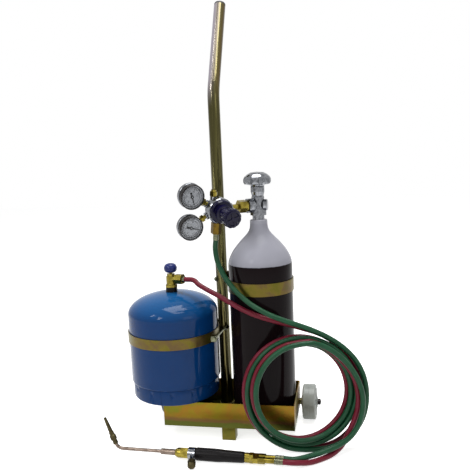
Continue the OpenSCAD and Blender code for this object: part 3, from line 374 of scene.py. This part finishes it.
FINISHES = {
    # Folded sheet: wide clouds of gold and copper, running violet and olive to its lower edge.
    "zinc_sheet": plated("zinc_plate_yellow_sheet", (
        (0.22, "5c6612"), (0.38, "7c6c14"), (0.5, "84601a"), (0.6, "6c6a14"), (0.75, "765634")),
        75, 0.34, drained=((37.5, 46.5, "664c28"), (32, 37, "50541c"))),
    # Drawn tube: streaks of olive along its length, and a sharp shine down its side. On the grip a
    # painted reflection: violet and silver down its left side, olive darkening down its right.
    "zinc_tube": plated("zinc_plate_olive_tube", (
        (0.3, "646034"), (0.44, "403c20"), (0.52, "6e6840"), (0.6, "48421f"), (0.72, "726a46")),
        34, 0.18, stretch=(1.0, 1.0, 0.06), painted_side_reflection=(
            (0.0, "6c6470"), (0.2, "a098a4"), (0.38, "a8a09c"), (0.46, "5c544c"), (0.6, "524c42"),
            (0.68, "645e40"), (0.85, "60542f"), (1.0, "4c3c22"))),
    # Strap steel: the same plate on narrow bands, duller and more olive.
    "zinc_strap": plated("zinc_plate_yellow_strap", (
        (0.3, "545214"), (0.5, "625620"), (0.62, "5a482c"), (0.78, "4c4a1a")), 35, 0.34),
    # Headed and rolled fasteners: small, pale and fairly bright.
    "bolt_steel": plating("zinc_plate_bolts", "7c7e68", "5e604c", 0.22, 2.0, 0.02),
    # Drawn steel blackened in oil: nearly black, with a soft shine.
    "dark_steel": plating("blackened_steel", "2c2a2a", "201e1e", 0.38, 1.5, 0.03),
    # Natural nylon: milky grey, half matt, a little yellowed in places.
    "nylon": moulded("nylon_wheel", "a4aaa8", "94988c", 0.4, 2.0, 0.03),
    # Moulded phenolic and ABS: deep black with a broad faint shine.
    "black_plastic": moulded("black_moulded_plastic", "0a0708", "110e0f", 0.36, 0.8, 0.02,
                             Specular_IOR_Level=0.12),
    # Black gloss on the cylinder under a masked pale grey shoulder.
    "cylinder_paint": enamel("cylinder_enamel", "120b0d", "180f11", 0.1, 4.0, 0.0012, 0.06,
                             (382, 0.7, "a8a8b2", "9c9ca6")),
    # The shoulder's grey on the rougher neck ring, with little gloss.
    "neck_steel": enamel("neck_enamel", "a8a8b2", "9c9ca6", 0.34, 2.5, 0.012, 0.4),
    # Chrome plate on forged and polished brass: hard bright reflections that wobble slightly.
    "chrome": plating("chrome_plate", "8a8c90", "66686c", 0.12, 5.0, 0.03),
    # Blue gloss on the pressed bottle; a painted highlight makes it paler towards the top of its
    # dome.
    "bottle_paint": enamel("bottle_enamel", "063c76", "053468", 0.1, 4.0, 0.0012, 0.13,
                           (286, 20, "18568c", "145086")),
    # Glossy navy plastic of the regulator: almost black, blue where it catches light.
    "navy_plastic": moulded("navy_moulded_plastic", "0e0a30", "0b0826", 0.14, 0.8, 0.004,
                            Specular_IOR_Level=0.2),
    # Royal blue plastic of the bottle's tap, half matt.
    "blue_plastic": moulded("blue_moulded_plastic", "142468", "101e58", 0.3, 0.8, 0.02,
                            Specular_IOR_Level=0.3),
    # Turned brass: warm yellow, gone browner where it has been handled.
    "brass": bare_metal("turned_brass", "8e8038", "605420", 0.24, 12),
    # Brass that heat and soot have dulled to a greenish brown.
    "dark_brass": bare_metal("dull_brass", "4c4630", "342e1e", 0.36, 8),
    # Ground steel inside the fittings: even grey, satin.
    "inner_steel": plating("ground_steel", "8c8c8c", "787878", 0.3, 1.0, 0.02),
    # Nitrile rubber: dull black that hardly reflects.
    "black_rubber": moulded("nitrile_rubber", "101010", "181818", 0.6, 0.8, 0.02),
    # Painted dial card: flat pale grey.
    "dial_white": moulded("printed_dial_card", "b4b7bc", "acafb5", 0.5, 0.5, 0.004),
    # Welding hose, deep green for oxygen and deep red for fuel gas.
    "green_rubber": rubber_hose("green_rubber_hose", "0a4226", "184e32"),
    "red_rubber": rubber_hose("red_rubber_hose", "680a20", "781a34"),
    # Drawn copper-nickel pipe: a greyish pink with darker heat patches.
    "copper": bare_metal("drawn_copper_nickel", "86786e", "5e5046", 0.28, 14),
    # Gauge glass of polished acrylic: a clear pane that takes a little light from the room.
    "window": finish("polished_acrylic_pane", Base_Color="c8ccd0", Roughness=0.05, IOR=1.49,
                     Alpha=0.06)[0],
}
# Brass of the outlet nut, browned by handling.
browned_brass = bare_metal("browned_brass", "64501e", "4a3a1a", 0.32, 8)
# The folded foot takes the plate without the violet of the tray's lower edge.
foot_plate = plated("zinc_plate_yellow_foot", (
    (0.3, "545618"), (0.5, "685f22"), (0.7, "4c5016")), 30, 0.34)


def coat(piece, material):
    """Gives a piece its only material."""
    piece.data.materials.clear()
    piece.data.materials.append(material)


slots = {part["node"]: part["material_slot"] for part in frame["record"]["subparts"]}
for name, node in nodes.items():
    coat(node, FINISHES[slots[name]])
coat(nodes["front_foot"], foot_plate)
coat(nodes["torch_valve_block"], FINISHES["chrome"])
coat(nodes["regulator_outlet_nut"], browned_brass)
for name in ("high_gauge_case", "low_gauge_case"):
    coat(nodes[name], FINISHES["dark_steel"])
coat(green_hose, FINISHES["green_rubber"])
coat(red_hose, FINISHES["red_rubber"])


# ---- modelling ------------------------------------------------------------
def deselect():
    """Leaves edit mode and selects nothing."""
    if bpy.context.mode != "OBJECT":
        bpy.ops.object.mode_set(mode="OBJECT")
    bpy.ops.object.select_all(action="DESELECT")


def take(piece):
    """Makes one piece the only selected and active one."""
    deselect()
    piece.select_set(True)
    bpy.context.view_layer.objects.active = piece


def pick(kind, wanted):
    """In edit mode, selects faces by their middle and normal, or edges by their middle and way."""
    bpy.ops.mesh.select_mode(type=kind)
    bpy.ops.mesh.select_all(action="DESELECT")
    mesh = bmesh.from_edit_mesh(bpy.context.object.data)
    if kind == "FACE":
        for face in mesh.faces:
            face.select_set(wanted(face.calc_center_median() / MM, face.normal))
    else:
        for edge in mesh.edges:
            one, two = (v.co / MM for v in edge.verts)
            edge.select_set(wanted((one + two) / 2, (two - one).normalized()))
    bmesh.update_edit_mesh(bpy.context.object.data)


def turned(profile, sides=48, hollow=False):
    """A turned shape: a circle drawn out and up through the radii and heights of its profile."""
    deselect()
    radius, level = profile[0]
    bpy.ops.mesh.primitive_circle_add(
        vertices=sides, radius=radius * MM, location=(0, 0, level * MM),
        fill_type="NOTHING" if hollow else "NGON")
    piece = bpy.context.object
    bpy.ops.object.mode_set(mode="EDIT")
    bpy.ops.mesh.select_mode(type="VERT")
    bpy.ops.mesh.select_all(action="SELECT")
    for (r0, z0), (r1, z1) in zip(profile, profile[1:]):
        bpy.ops.mesh.extrude_region_move(TRANSFORM_OT_translate={"value": (0, 0, (z1 - z0) * MM)})
        bpy.ops.transform.resize(value=(r1 / r0, r1 / r0, 1), center_override=(0, 0, 0))
    if hollow:
        bpy.ops.mesh.select_mode(type="EDGE")
        bpy.ops.mesh.select_all(action="DESELECT")
        bpy.ops.mesh.select_non_manifold()
        bpy.ops.mesh.bridge_edge_loops()
    bpy.ops.mesh.select_all(action="SELECT")
    bpy.ops.mesh.normals_make_consistent(inside=False)
    bpy.ops.object.mode_set(mode="OBJECT")
    return piece


def block(size, middle, bevel=0.0):
    """A block of that size, with its edges broken where a bevel is given."""
    deselect()
    bpy.ops.mesh.primitive_cube_add(size=1, location=[v * MM for v in middle])
    piece = bpy.context.object
    piece.scale = [v * MM for v in size]
    bpy.ops.object.transform_apply(location=True, rotation=True, scale=True)
    if bevel:
        bpy.ops.object.mode_set(mode="EDIT")
        bpy.ops.mesh.select_all(action="SELECT")
        bpy.ops.mesh.bevel(offset=bevel * MM, segments=2)
        bpy.ops.object.mode_set(mode="OBJECT")
    return piece


def copies(piece, places):
    """Copies of a piece, each with its own mesh, joined to the piece in the first place."""
    twins = []
    for place in places[1:]:
        twin = piece.copy()
        twin.data = piece.data.copy()
        scene.collection.objects.link(twin)
        twin.matrix_world = place @ piece.matrix_world
        twins.append(twin)
    piece.matrix_world = places[0] @ piece.matrix_world
    return joined([piece, *twins])


def joined(pieces):
    """One piece of several, with their places in its mesh."""
    take(pieces[0])
    for piece in pieces:
        piece.select_set(True)
    bpy.ops.object.transform_apply(location=True, rotation=True, scale=True)
    if len(pieces) > 1:
        bpy.ops.object.join()
    return pieces[0]


def merged_copy(name):
    """A copy of a CAD node whose triangles are joined and flat again, to be shaped further."""
    take(nodes[name])
    bpy.ops.object.duplicate()
    piece = bpy.context.object
    bpy.ops.object.mode_set(mode="EDIT")
    bpy.ops.mesh.select_all(action="SELECT")
    bpy.ops.mesh.remove_doubles(threshold=0.00001)
    bpy.ops.mesh.dissolve_limited(angle_limit=math.radians(0.5))
    bpy.ops.object.mode_set(mode="OBJECT")
    return piece


def modified(piece, kind, **settings):
    """Applies one modifier."""
    take(piece)
    modifier = piece.modifiers.new(kind, kind)
    for name, value in settings.items():
        setattr(modifier, name, value)
    bpy.ops.object.modifier_apply(modifier=modifier.name)
    return piece


def done(piece, name, slot, place=None, body="cart", angle=35):
    """Sets a shaped piece in its place, smooths it, and gives it its slot's finish and its body."""
    take(piece)
    piece.name = piece.data.name = name
    if place:
        piece.matrix_world = place @ piece.matrix_world
    bpy.ops.object.transform_apply(location=True, rotation=True, scale=True)
    bpy.ops.object.shade_smooth_by_angle(angle=math.radians(angle))
    coat(piece, FINISHES[slot])
    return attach(piece, body)


def axes(origin, x, y, z):
    """A frame whose axes point those ways, at a point in millimetres."""
    return Matrix.Translation(origin * MM) @ Matrix((x, y, z)).transposed().to_4x4()


def along(point, way):
    """A frame whose z axis runs that way from a point in millimetres."""
    side = way.cross(UP) if abs(way.z) < 0.9 else Vector((1, 0, 0))
    side.normalize()
    return axes(point, side, way.cross(side), way)


def turn_about_z(degrees):
    """A turn about the z axis."""
    return Matrix.Rotation(math.radians(degrees), 4, "Z")


# ---- the regulator's frame ------------------------------------------------
REG_MID = Vector((-5.353, 0.329, 506.818))
reg_axis = Vector((math.cos(REG_TURN), math.sin(REG_TURN), 0))
reg_back = reg_up.cross(reg_axis)

# ---- crimped hose ferrules ------------------------------------------------
CRIMP, CRIMP_FROM, CRIMP_PITCH = 0.6, 1.6, 2.9
SEATED = 0.2            # a ferrule starts that far inside its fitting


def ferrule(radius, length):
    """A steel sleeve pressed onto the hose in rings, drawn from its fitting to the hose."""
    profile = [(radius - 0.5, 0), (radius, 0.5)]
    at = CRIMP_FROM
    while at + 2.4 < length:
        profile += [(radius, at), (radius - CRIMP, at + 0.5), (radius - CRIMP, at + 1.3),
                    (radius, at + 1.8)]
        at += CRIMP_PITCH
    return turned(profile + [(radius, length - 0.5), (radius - 0.4, length)], 40)


FERRULE_R = HOSE_D / 2 + 0.8
reg_ferrule = ferrule(FERRULE_R, 15)
reg_ferrule.matrix_world = axes(REG_MID - 53 * reg_up, reg_axis, -reg_back, -reg_up)
tap_ferrule = ferrule(FERRULE_R, 6)
tap_side = Vector((-math.sin(TAP_TURN), math.cos(TAP_TURN), 0))
tap_ferrule.matrix_world = axes(TAP_EXIT - (6 + SEATED) * tap_way, tap_side, UP, tap_way)
torch_ferrules = []
for twin in (-TWIN, TWIN):
    sleeve = ferrule(HOSE_D / 2 + 0.6, 17)
    sleeve.matrix_world = axes(TORCH_END - (17 + SEATED) * torch_way + twin * torch_side,
                               torch_side, UP, torch_way)
    torch_ferrules.append(sleeve)
ferrules = done(joined([reg_ferrule, tap_ferrule, *torch_ferrules]), "crimped_ferrules",
                "bolt_steel")
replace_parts(ferrules, "hose_ferrules")

# ---- gauges ---------------------------------------------------------------
DIAL_FACE, NEEDLE_BACK = 9.0, 9.7       # in front of the regulator's middle
SWEEP_FROM, SWEEP = 225, 270            # degrees
GAUGE_SIDE, GAUGE_RISE = 62, 33         # from the regulator's middle to a gauge's
PRINT_T = 0.12


def gauge_place(side, forward):
    """The way of the stem of the high (1) or low (-1) gauge, and a point on the gauge's axis."""
    swing = side * math.atan(GAUGE_RISE / GAUGE_SIDE)
    stem_way = math.cos(swing) * reg_axis - math.sin(swing) * reg_up
    return stem_way, REG_MID - math.hypot(GAUGE_SIDE, GAUGE_RISE) * stem_way - forward * reg_back


def scale_marks(step, size, radius):
    """Marks round a dial, one shaped and copied along the sweep."""
    mark = block(size, (radius, 0, PRINT_T / 2))
    count = round(SWEEP / step)
    return copies(mark, [turn_about_z(SWEEP_FROM - step * i) for i in range(count + 1)])


def figures(numbers, radius, height):
    """The figures of a scale, upright on the dial."""
    pieces = []
    for i, number in enumerate(numbers):
        a = math.radians(SWEEP_FROM - SWEEP * i / (len(numbers) - 1))
        deselect()
        bpy.ops.object.text_add()
        words = bpy.context.object
        words.data.body = str(number)
        words.data.size = height * MM
        words.data.extrude = 0.05 * MM
        words.data.align_x = words.data.align_y = "CENTER"
        bpy.ops.object.convert(target="MESH")
        bpy.ops.object.mode_set(mode="EDIT")
        bpy.ops.mesh.select_all(action="SELECT")
        bpy.ops.mesh.remove_doubles(threshold=0.000001)
        bpy.ops.mesh.normals_make_consistent(inside=False)
        bpy.ops.object.mode_set(mode="OBJECT")
        words.location = (radius * math.cos(a) * MM, radius * math.sin(a) * MM,
                          PRINT_T / 2 * MM)
        pieces.append(words)
    return joined(pieces)


def dial_print(name, side, numbers):
    """Everything printed on a dial: a scale line, long and short marks and figures."""
    stem_way, middle = gauge_place(side, DIAL_FACE)
    rings = [turned([(outer, 0), (outer, PRINT_T), (inner, PRINT_T), (inner, 0)], 64, hollow=True)
             for outer, inner in ((21.6, 20.7), (16.7, 16.1))]
    printed = joined([*rings, scale_marks(13.5, (4.2, 0.7, PRINT_T), 18.8),
                      scale_marks(2.7, (2.4, 0.32, PRINT_T), 19.7), figures(numbers, 12.6, 4.8)])
    done(printed, name, "black_plastic",
         axes(middle, stem_way.cross(reg_back), -stem_way, -reg_back), angle=20)


dial_print("high_gauge_print", 1, (0, 50, 100, 150, 200, 250))
dial_print("low_gauge_print", -1, (0, 2, 4, 6, 8, 10))


def taper_end(piece, side, share):
    """Narrows or widens the end of a bar that lies along y."""
    take(piece)
    bpy.ops.object.mode_set(mode="EDIT")
    pick("FACE", lambda middle, normal: normal.y * side > 0.9)
    bpy.ops.transform.resize(value=(share, 1, 1))
    bpy.ops.object.mode_set(mode="OBJECT")


def long_needle(name, side, body):
    """A black needle with a counterweight, from behind its hub to the scale."""
    stem_way, middle = gauge_place(side, NEEDLE_BACK)
    zero_way = (stem_way + reg_back.cross(stem_way)).normalized()
    hub = turned([(1.15, 0), (3.4, 0), (3.4, 0.9), (2.7, 1.4), (1.15, 1.4)], 40, hollow=True)
    pointer = block((2.7, 16.5, 0.6), (0, 10.8, 0.5))
    taper_end(pointer, 1, 0.35)
    weight = block((2.7, 7.4, 0.6), (0, -6.3, 0.5))
    taper_end(weight, -1, 1.7)
    return done(joined([hub, pointer, weight]), name, "black_plastic",
                axes(middle, zero_way.cross(-reg_back), zero_way, -reg_back), body)


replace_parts(long_needle("high_needle_pointer", 1, "high_needle"), "high_gauge_needle")
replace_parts(long_needle("low_needle_pointer", -1, "low_needle"), "low_gauge_needle")


def bezel(side):
    """The bright ring that is spun over the front of a gauge case and holds its window."""
    ring = turned([(22.8, 13.6), (23.0, 14.1), (23.9, 14.25), (24.3, 14.7), (25.4, 14.7),
                   (26.1, 14.2), (26.5, 13.3), (26.5, 9.2), (26.2, 8.8), (25.2, 8.8)], 96,
                  hollow=True)
    stem_way, middle = gauge_place(side, 0)
    ring.matrix_world = axes(middle, stem_way.cross(reg_back), -stem_way, -reg_back)
    return ring


done(joined([bezel(1), bezel(-1)]), "gauge_bezels", "chrome")

# ---- regulator knob's cap -------------------------------------------------
cap = turned([(16.4, -0.4), (16.4, 1.4), (15.6, 2.3), (13.8, 2.3), (12.6, 0.5), (5.2, 0.5),
              (4.4, 2.2), (2.5, 2.6)], 64)
arm = block((10.2, 3.6, 2.2), (8.6, 0, 1.1), 0.8)
arms = copies(arm, [turn_about_z(20 + 90 * i) for i in range(4)])
done(joined([cap, arms]), "pressure_knob_cap", "navy_plastic",
     axes(REG_MID - 74 * reg_back, reg_axis, reg_up, -reg_back), "pressure_knob")


# ---- tray and foot --------------------------------------------------------
def folded(node, name, broken):
    """A copy of a sheet node with its folds and cut edges broken by that width."""
    piece = modified(merged_copy(node), "BEVEL", width=broken * MM, segments=3,
                     limit_method="ANGLE", angle_limit=math.radians(40))
    return done(piece, name, "zinc_sheet", angle=30)


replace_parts(folded("tray", "folded_tray", 1.1), "tray")
foot = folded("front_foot", "folded_front_foot", 0.9)
coat(foot, foot_plate)
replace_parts(foot, "front_foot")

# ---- handle tube ----------------------------------------------------------
# The grip is cut a little shorter, and a flat plug is pressed into its mouth.
BEND_FROM, BEND_R, GRIP_LONG, GRIP_CUT = 737, 80, 227, 10
MOUTH = 6               # the end of the grip that is moved down with its mouth
GRIP_LEAN = math.radians(28.5)
grip_way = Vector((0, math.sin(GRIP_LEAN), math.cos(GRIP_LEAN)))
grip_end = Vector((TUBE_X, TUBE_Y + BEND_R * (1 - math.cos(GRIP_LEAN)),
                   BEND_FROM + BEND_R * math.sin(GRIP_LEAN)))
grip_end += GRIP_LONG * grip_way
tube = merged_copy("handle_tube")
bpy.ops.object.mode_set(mode="EDIT")
pick("EDGE", lambda middle, way: (middle - grip_end).dot(grip_way) > -MOUTH)
bpy.ops.transform.translate(value=-GRIP_CUT * MM * grip_way)
bpy.ops.object.mode_set(mode="OBJECT")
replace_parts(done(tube, "bent_handle_tube", "zinc_tube", angle=30), "handle_tube")
plug = turned([(11.4, -14), (11.4, 0), (TUBE_R, 0), (TUBE_R, 3.8), (13.2, 4.6), (12.4, 5),
               (9.5, 5.2)])
plug = done(plug, "pressed_tube_plug", "black_rubber",
            Matrix.Translation((grip_end - GRIP_CUT * grip_way) * MM)
            @ Matrix.Rotation(-GRIP_LEAN, 4, "X"))
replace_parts(plug, "tube_cap")


# ---- bottles --------------------------------------------------------------
def arc(middle, size, start, end, step):
    """Points of an arc or part of an ellipse, in degrees."""
    count = round(abs(end - start) / step)
    angles = [math.radians(start + (end - start) * i / count) for i in range(count + 1)]
    return [(middle[0] + size[0] * math.cos(a), middle[1] + size[1] * math.sin(a)) for a in angles]


def eased(points, steps):
    """A smooth line through the points of a profile."""
    line = []
    ends = [points[0], *points, points[-1]]
    for a, b, c, d in zip(ends, ends[1:], ends[2:], ends[3:]):
        for i in range(steps):
            t = i / steps
            line.append(tuple(
                0.5 * (2 * b[k] + (c[k] - a[k]) * t
                       + (2 * a[k] - 5 * b[k] + 4 * c[k] - d[k]) * t * t
                       + (3 * b[k] - a[k] - 3 * c[k] + d[k]) * t ** 3) for k in (0, 1)))
    return [*line, points[-1]]


butane_shell = turned(
    [(12, 15.5), (50.7, 18), (81.3, 26), (95.6, 33)] + arc((98, 38), (3.5, 5), -90, 0, 15)
    + arc((0, 186), (101.5, 46), 0, 81, 1.5) + [(8, 232), (8, 229)]
    + arc((0, 186), (98.9, 43.4), 80, 0, 5) + [(98.9, 41), (81.3, 29.2), (12, 18.5)], 192)
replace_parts(done(butane_shell, "pressed_butane_shell", "bottle_paint",
                 Matrix.Translation(BOTTLE_PLACE * MM)), "butane_bottle")
# The spun shoulder runs into the neck in a hollow curve.
SHOULDER = [(70, 346), (69.2, 355), (66.9, 363.5), (62.2, 373.5), (56.4, 383), (49.6, 391.6),
            (42.4, 400), (34.6, 408), (27.4, 415.6), (22.8, 422), (20.4, 428), (19.3, 434),
            (19.1, 438)]
oxygen_shell = turned(
    [(12, 4.5), (48, 0)] + arc((60, 10), (10, 10), -90, 0, 15) + [(70, 180), (70, 330)]
    + eased(SHOULDER, 5) + [(18, 438), (18, 420), (14, 418)]
    + arc((-22, 338), (88, 88), 52, 0, 6) + [(66, 14), (58, 6), (12, 10)], 192)
oxygen_place = Vector((72, 60.5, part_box("oxygen_cylinder")[0][2] / MM))
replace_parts(done(oxygen_shell, "spun_oxygen_shell", "cylinder_paint",
                 Matrix.Translation(oxygen_place * MM)), "oxygen_cylinder")

# ---- bottle's foot ring ---------------------------------------------------
FOOT_R, FOOT_TOP = 98, 33
foot_ring = turned([(92, 0), (96.5, 0), (98, 2), (98, FOOT_TOP - 1.5), (97.5, FOOT_TOP - 0.4),
                    (97, FOOT_TOP), (95.8, FOOT_TOP), (95.8, 4), (92, 2)], 144, hollow=True)
deselect()
bpy.ops.mesh.primitive_uv_sphere_add(segments=24, ring_count=16, radius=9 * MM,
                                     location=(105.4 * MM, 0, 23 * MM))
dents = copies(bpy.context.object, [turn_about_z(3.1 - 27.7 * i) for i in range(13)])
seam = block((2.4, 1.1, 60), (FOOT_R + 0.5, 0, 20))
seam = copies(seam, [turn_about_z(-94)])
tools = joined([dents, seam])
modified(foot_ring, "BOOLEAN", object=tools, operation="DIFFERENCE", solver="EXACT")
bpy.data.objects.remove(tools)
foot_ring = done(foot_ring, "dented_foot_ring", "bottle_paint",
                 Matrix.Translation(BOTTLE_PLACE * MM))
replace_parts(foot_ring, "butane_foot_ring")

# ---- bottle tap's knob ----------------------------------------------------
knob_foot = Vector((BOTTLE_PLACE.x, BOTTLE_PLACE.y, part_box("butane_valve_knob")[0][2] / MM))
tap_knob = turned([(3.15, 14), (3.15, 0), (8, 0), (11.6, 1.2), (14.0, 4.4), (14.8, 9), (14.5, 12.5),
                   (12.6, 16.6), (9.2, 19.4), (5, 20.7), (2, 21)], 64)
deselect()
bpy.ops.mesh.primitive_cylinder_add(vertices=24, radius=2.6 * MM, depth=40 * MM,
                                    location=(16.2 * MM, 0, 10 * MM))
flutes = copies(bpy.context.object, [turn_about_z(22.5 + 45 * i) for i in range(8)])
modified(tap_knob, "BOOLEAN", object=flutes, operation="DIFFERENCE", solver="EXACT")
bpy.data.objects.remove(flutes)
tap_knob = done(tap_knob, "lobed_tap_knob", "blue_plastic",
                Matrix.Translation(knob_foot * MM), "tap_knob")
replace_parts(tap_knob, "butane_valve_knob")

# ---- clamp screw of the bottle's strap ------------------------------------
HEXAGON = [(4.6, 0), (5.1, 0.5), (5.1, 3.4), (4.7, 4)]
WASHER = [(5.9, 0), (6.1, 0.2), (6.1, 0.9), (5.9, 1.1)]
CLAMP_Z = 218
SCREW_FROM, SCREW_TO = Vector((-30, 13, CLAMP_Z)), Vector((-23.5, 105.2, CLAMP_Z))
screw_way = (SCREW_TO - SCREW_FROM).normalized()
screw_length = (SCREW_TO - SCREW_FROM).length
screw_parts = [block((12, 2.2, 12), (-32.6, 21, CLAMP_Z), 0.6)]
for profile, sides, at in ((HEXAGON, 6, 2.2), (WASHER, 40, 6),
                           ([(2, 0), (2, screw_length - 4)], 32, 4),
                           (HEXAGON, 6, 9.4), (HEXAGON, 6, screw_length - 6.5)):
    part = turned(profile, sides)
    part.matrix_world = along(SCREW_FROM + at * screw_way, screw_way)
    screw_parts.append(part)
done(joined(screw_parts), "strap_clamp_screw", "bolt_steel")

# ---- weld at the foot of the handle tube ----------------------------------
tube_foot = Vector((TUBE_X, TUBE_Y, oxygen_place.z))
bead = turned([(13.3, 0), (17.2, 0), (16.9, 1.2), (15.9, 2.5), (14.6, 3.2), (13.3, 3.4)], 72,
              hollow=True)
deselect()
bpy.ops.mesh.primitive_uv_sphere_add(segments=16, ring_count=8, radius=2.1 * MM,
                                     location=(15.6 * MM, 0, 1.5 * MM))
ripples = copies(bpy.context.object, [turn_about_z(10 * i) for i in range(36)])
done(joined([bead, ripples]), "tube_weld_bead", "zinc_tube", Matrix.Translation(tube_foot * MM))

# ---- wheels ---------------------------------------------------------------
WHEEL_X, AXLE_Y, AXLE_Z = 168, 117, 40


def ribbed_wheel(name, x, body):
    """A moulded wheel: bored hub, webs with ribs on both faces and a parting line on its tread."""
    half = [(4.15, -18.5), (12.2, -18.5), (12.8, -17.8), (13.8, -12.2), (31, -11.4), (32.2, -15.2),
            (33.6, -15.4), (38.2, -14.4), (40, -12.2), (40, -0.8), (39.4, -0.4)]
    wheel = turned(half + [(r, -z) for r, z in reversed(half)], 96, hollow=True)
    turns = [turn_about_z(45 * i) for i in range(8)]
    ribs = [copies(block((19, 2.4, 4.6), (22.6, 0, height), 0.5), turns)
            for height in (13.6, -13.6)]
    return done(joined([wheel, *ribs]), name, "nylon",
                along(Vector((x, AXLE_Y, AXLE_Z)), Vector((1, 0, 0))), body)


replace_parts(ribbed_wheel("ribbed_left_wheel", -WHEEL_X, "left_wheel"), "wheel_left")
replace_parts(ribbed_wheel("ribbed_right_wheel", WHEEL_X, "right_wheel"), "wheel_right")

# ---- torch nozzle ---------------------------------------------------------
TORCH_PLACE = Vector((0, -103, 13.1))
TIP, TIP_BEND_R = math.radians(69), 16
GRIP_FROM, VALVE_BLOCK, FRONT_NUT, LANCE = -51, 15, 28, 118
tip_from = GRIP_FROM - VALVE_BLOCK - FRONT_NUT - LANCE - TIP_BEND_R * math.sin(TIP)
WIDER = 1.2             # the nozzle against its profile
nozzle = turned([(1, 0), (4.5, 0), (4.5, 6.2), (3.9, 6.8), (3.9, 8.6), (5.2, 9.4), (5.5, 10),
                 (5.5, 12), (5.0, 12.4), (5.5, 12.8), (5.5, 14.8), (5.0, 15.2), (5.5, 15.6),
                 (5.5, 18.8), (4.9, 19.6), (4.3, 20.2), (4.3, 26.4), (3.6, 27.4), (3.2, 42),
                 (2.5, 57.5), (2.2, 60), (1.3, 60), (1, 59)], 48, hollow=True)
nozzle_way = Vector((-math.cos(TIP), 0, math.sin(TIP)))
nozzle_side = Vector((0, -1, 0))
nozzle_foot = Vector((tip_from, 0, TIP_BEND_R * (1 - math.cos(TIP))))
nozzle = done(nozzle, "stepped_nozzle", "dark_brass",
              Matrix.Translation(TORCH_PLACE * MM) @ Matrix.Rotation(TORCH_TURN, 4, "Z")
              @ axes(nozzle_foot, nozzle_side, nozzle_way.cross(nozzle_side), nozzle_way)
              @ Matrix.Diagonal((WIDER, WIDER, 1, 1)))
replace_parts(nozzle, "torch_nozzle")

# ---- floor and light ------------------------------------------------------
AIM = Vector((0.0, 0.0, 0.35))
AMBIENT, FLOOR_GLOW = 0.24, 0.77
FLOOR_HALF, FLOOR_Z = 6.0, -0.0002      # metres


def lamp(name, place, size, watts):
    """A white softbox at a place in metres, turned to the cart."""
    light = bpy.data.lights.new(name, "AREA")
    light.shape = "RECTANGLE"
    light.size, light.size_y = size
    light.energy = watts
    holder = bpy.data.objects.new(name, light)
    scene.collection.objects.link(holder)
    holder.location = place
    holder.rotation_euler = (AIM - Vector(place)).to_track_quat("-Z", "Y").to_euler()


lamp("key_softbox", (-0.9, -1.9, 1.7), (0.3, 0.75), 12)
lamp("side_softbox", (-1.75, -1.25, 2.5), (0.3, 0.75), 10)
lamp("fill_softbox", (1.6, -1.2, 1.1), (0.9, 0.9), 4)
lamp("top_softbox", (0.1, 0.1, 2.3), (1.4, 1.0), 42)

world = bpy.data.worlds.new("studio")
scene.world = world
world.use_nodes = True


def seen_directly(material):
    """1 where the camera sees it, directly, in metal or through glass, and 0 where it lights."""
    path = add(material, "LightPath", {}).outputs
    camera_or_metal = add(material, "Math", {0: path["Is Camera Ray"], 1: path["Is Glossy Ray"]},
                          operation="MAXIMUM")
    return add(material, "Math", {0: camera_or_metal.outputs[0], 1: path["Is Transmission Ray"]},
               operation="MAXIMUM").outputs[0]


ambient = world.node_tree.nodes["Background"]
ambient.inputs["Color"].default_value = linear("ffffff")
ambient.inputs["Strength"].default_value = AMBIENT
white = add(world, "Background", {"Color": linear("ffffff"), "Strength": 1.0})
either = add(world, "MixShader", {0: seen_directly(world), 1: ambient.outputs[0],
                                  2: white.outputs[0]})
link(world, either.outputs[0], world.node_tree.nodes["World Output"], "Surface")

floor_mesh = bpy.data.meshes.new("floor")
floor_mesh.from_pydata([(x * FLOOR_HALF, y * FLOOR_HALF, FLOOR_Z)
                        for x, y in ((-1, -1), (1, -1), (1, 1), (-1, 1))], [], [(0, 1, 2, 3)])
floor = bpy.data.objects.new("floor", floor_mesh)
scene.collection.objects.link(floor)
floor_paint, floor_shader = finish("studio_floor", Base_Color="f2f2f2", Roughness=0.9,
                                   Specular_IOR_Level=0.0)
glow = add(floor_paint, "Emission", {"Color": linear("ffffff"), "Strength": FLOOR_GLOW})
summed = add(floor_paint, "AddShader", {0: floor_shader.outputs[0], 1: glow.outputs[0]})
shown = add(floor_paint, "MixShader", {0: seen_directly(floor_paint), 1: floor_shader.outputs[0],
                                       2: summed.outputs[0]})
link(floor_paint, shown.outputs[0], floor_paint.node_tree.nodes["Material Output"], "Surface")
floor_mesh.materials.append(floor_paint)

# ---- last update ----------------------------------------------------------
bpy.context.view_layer.update()
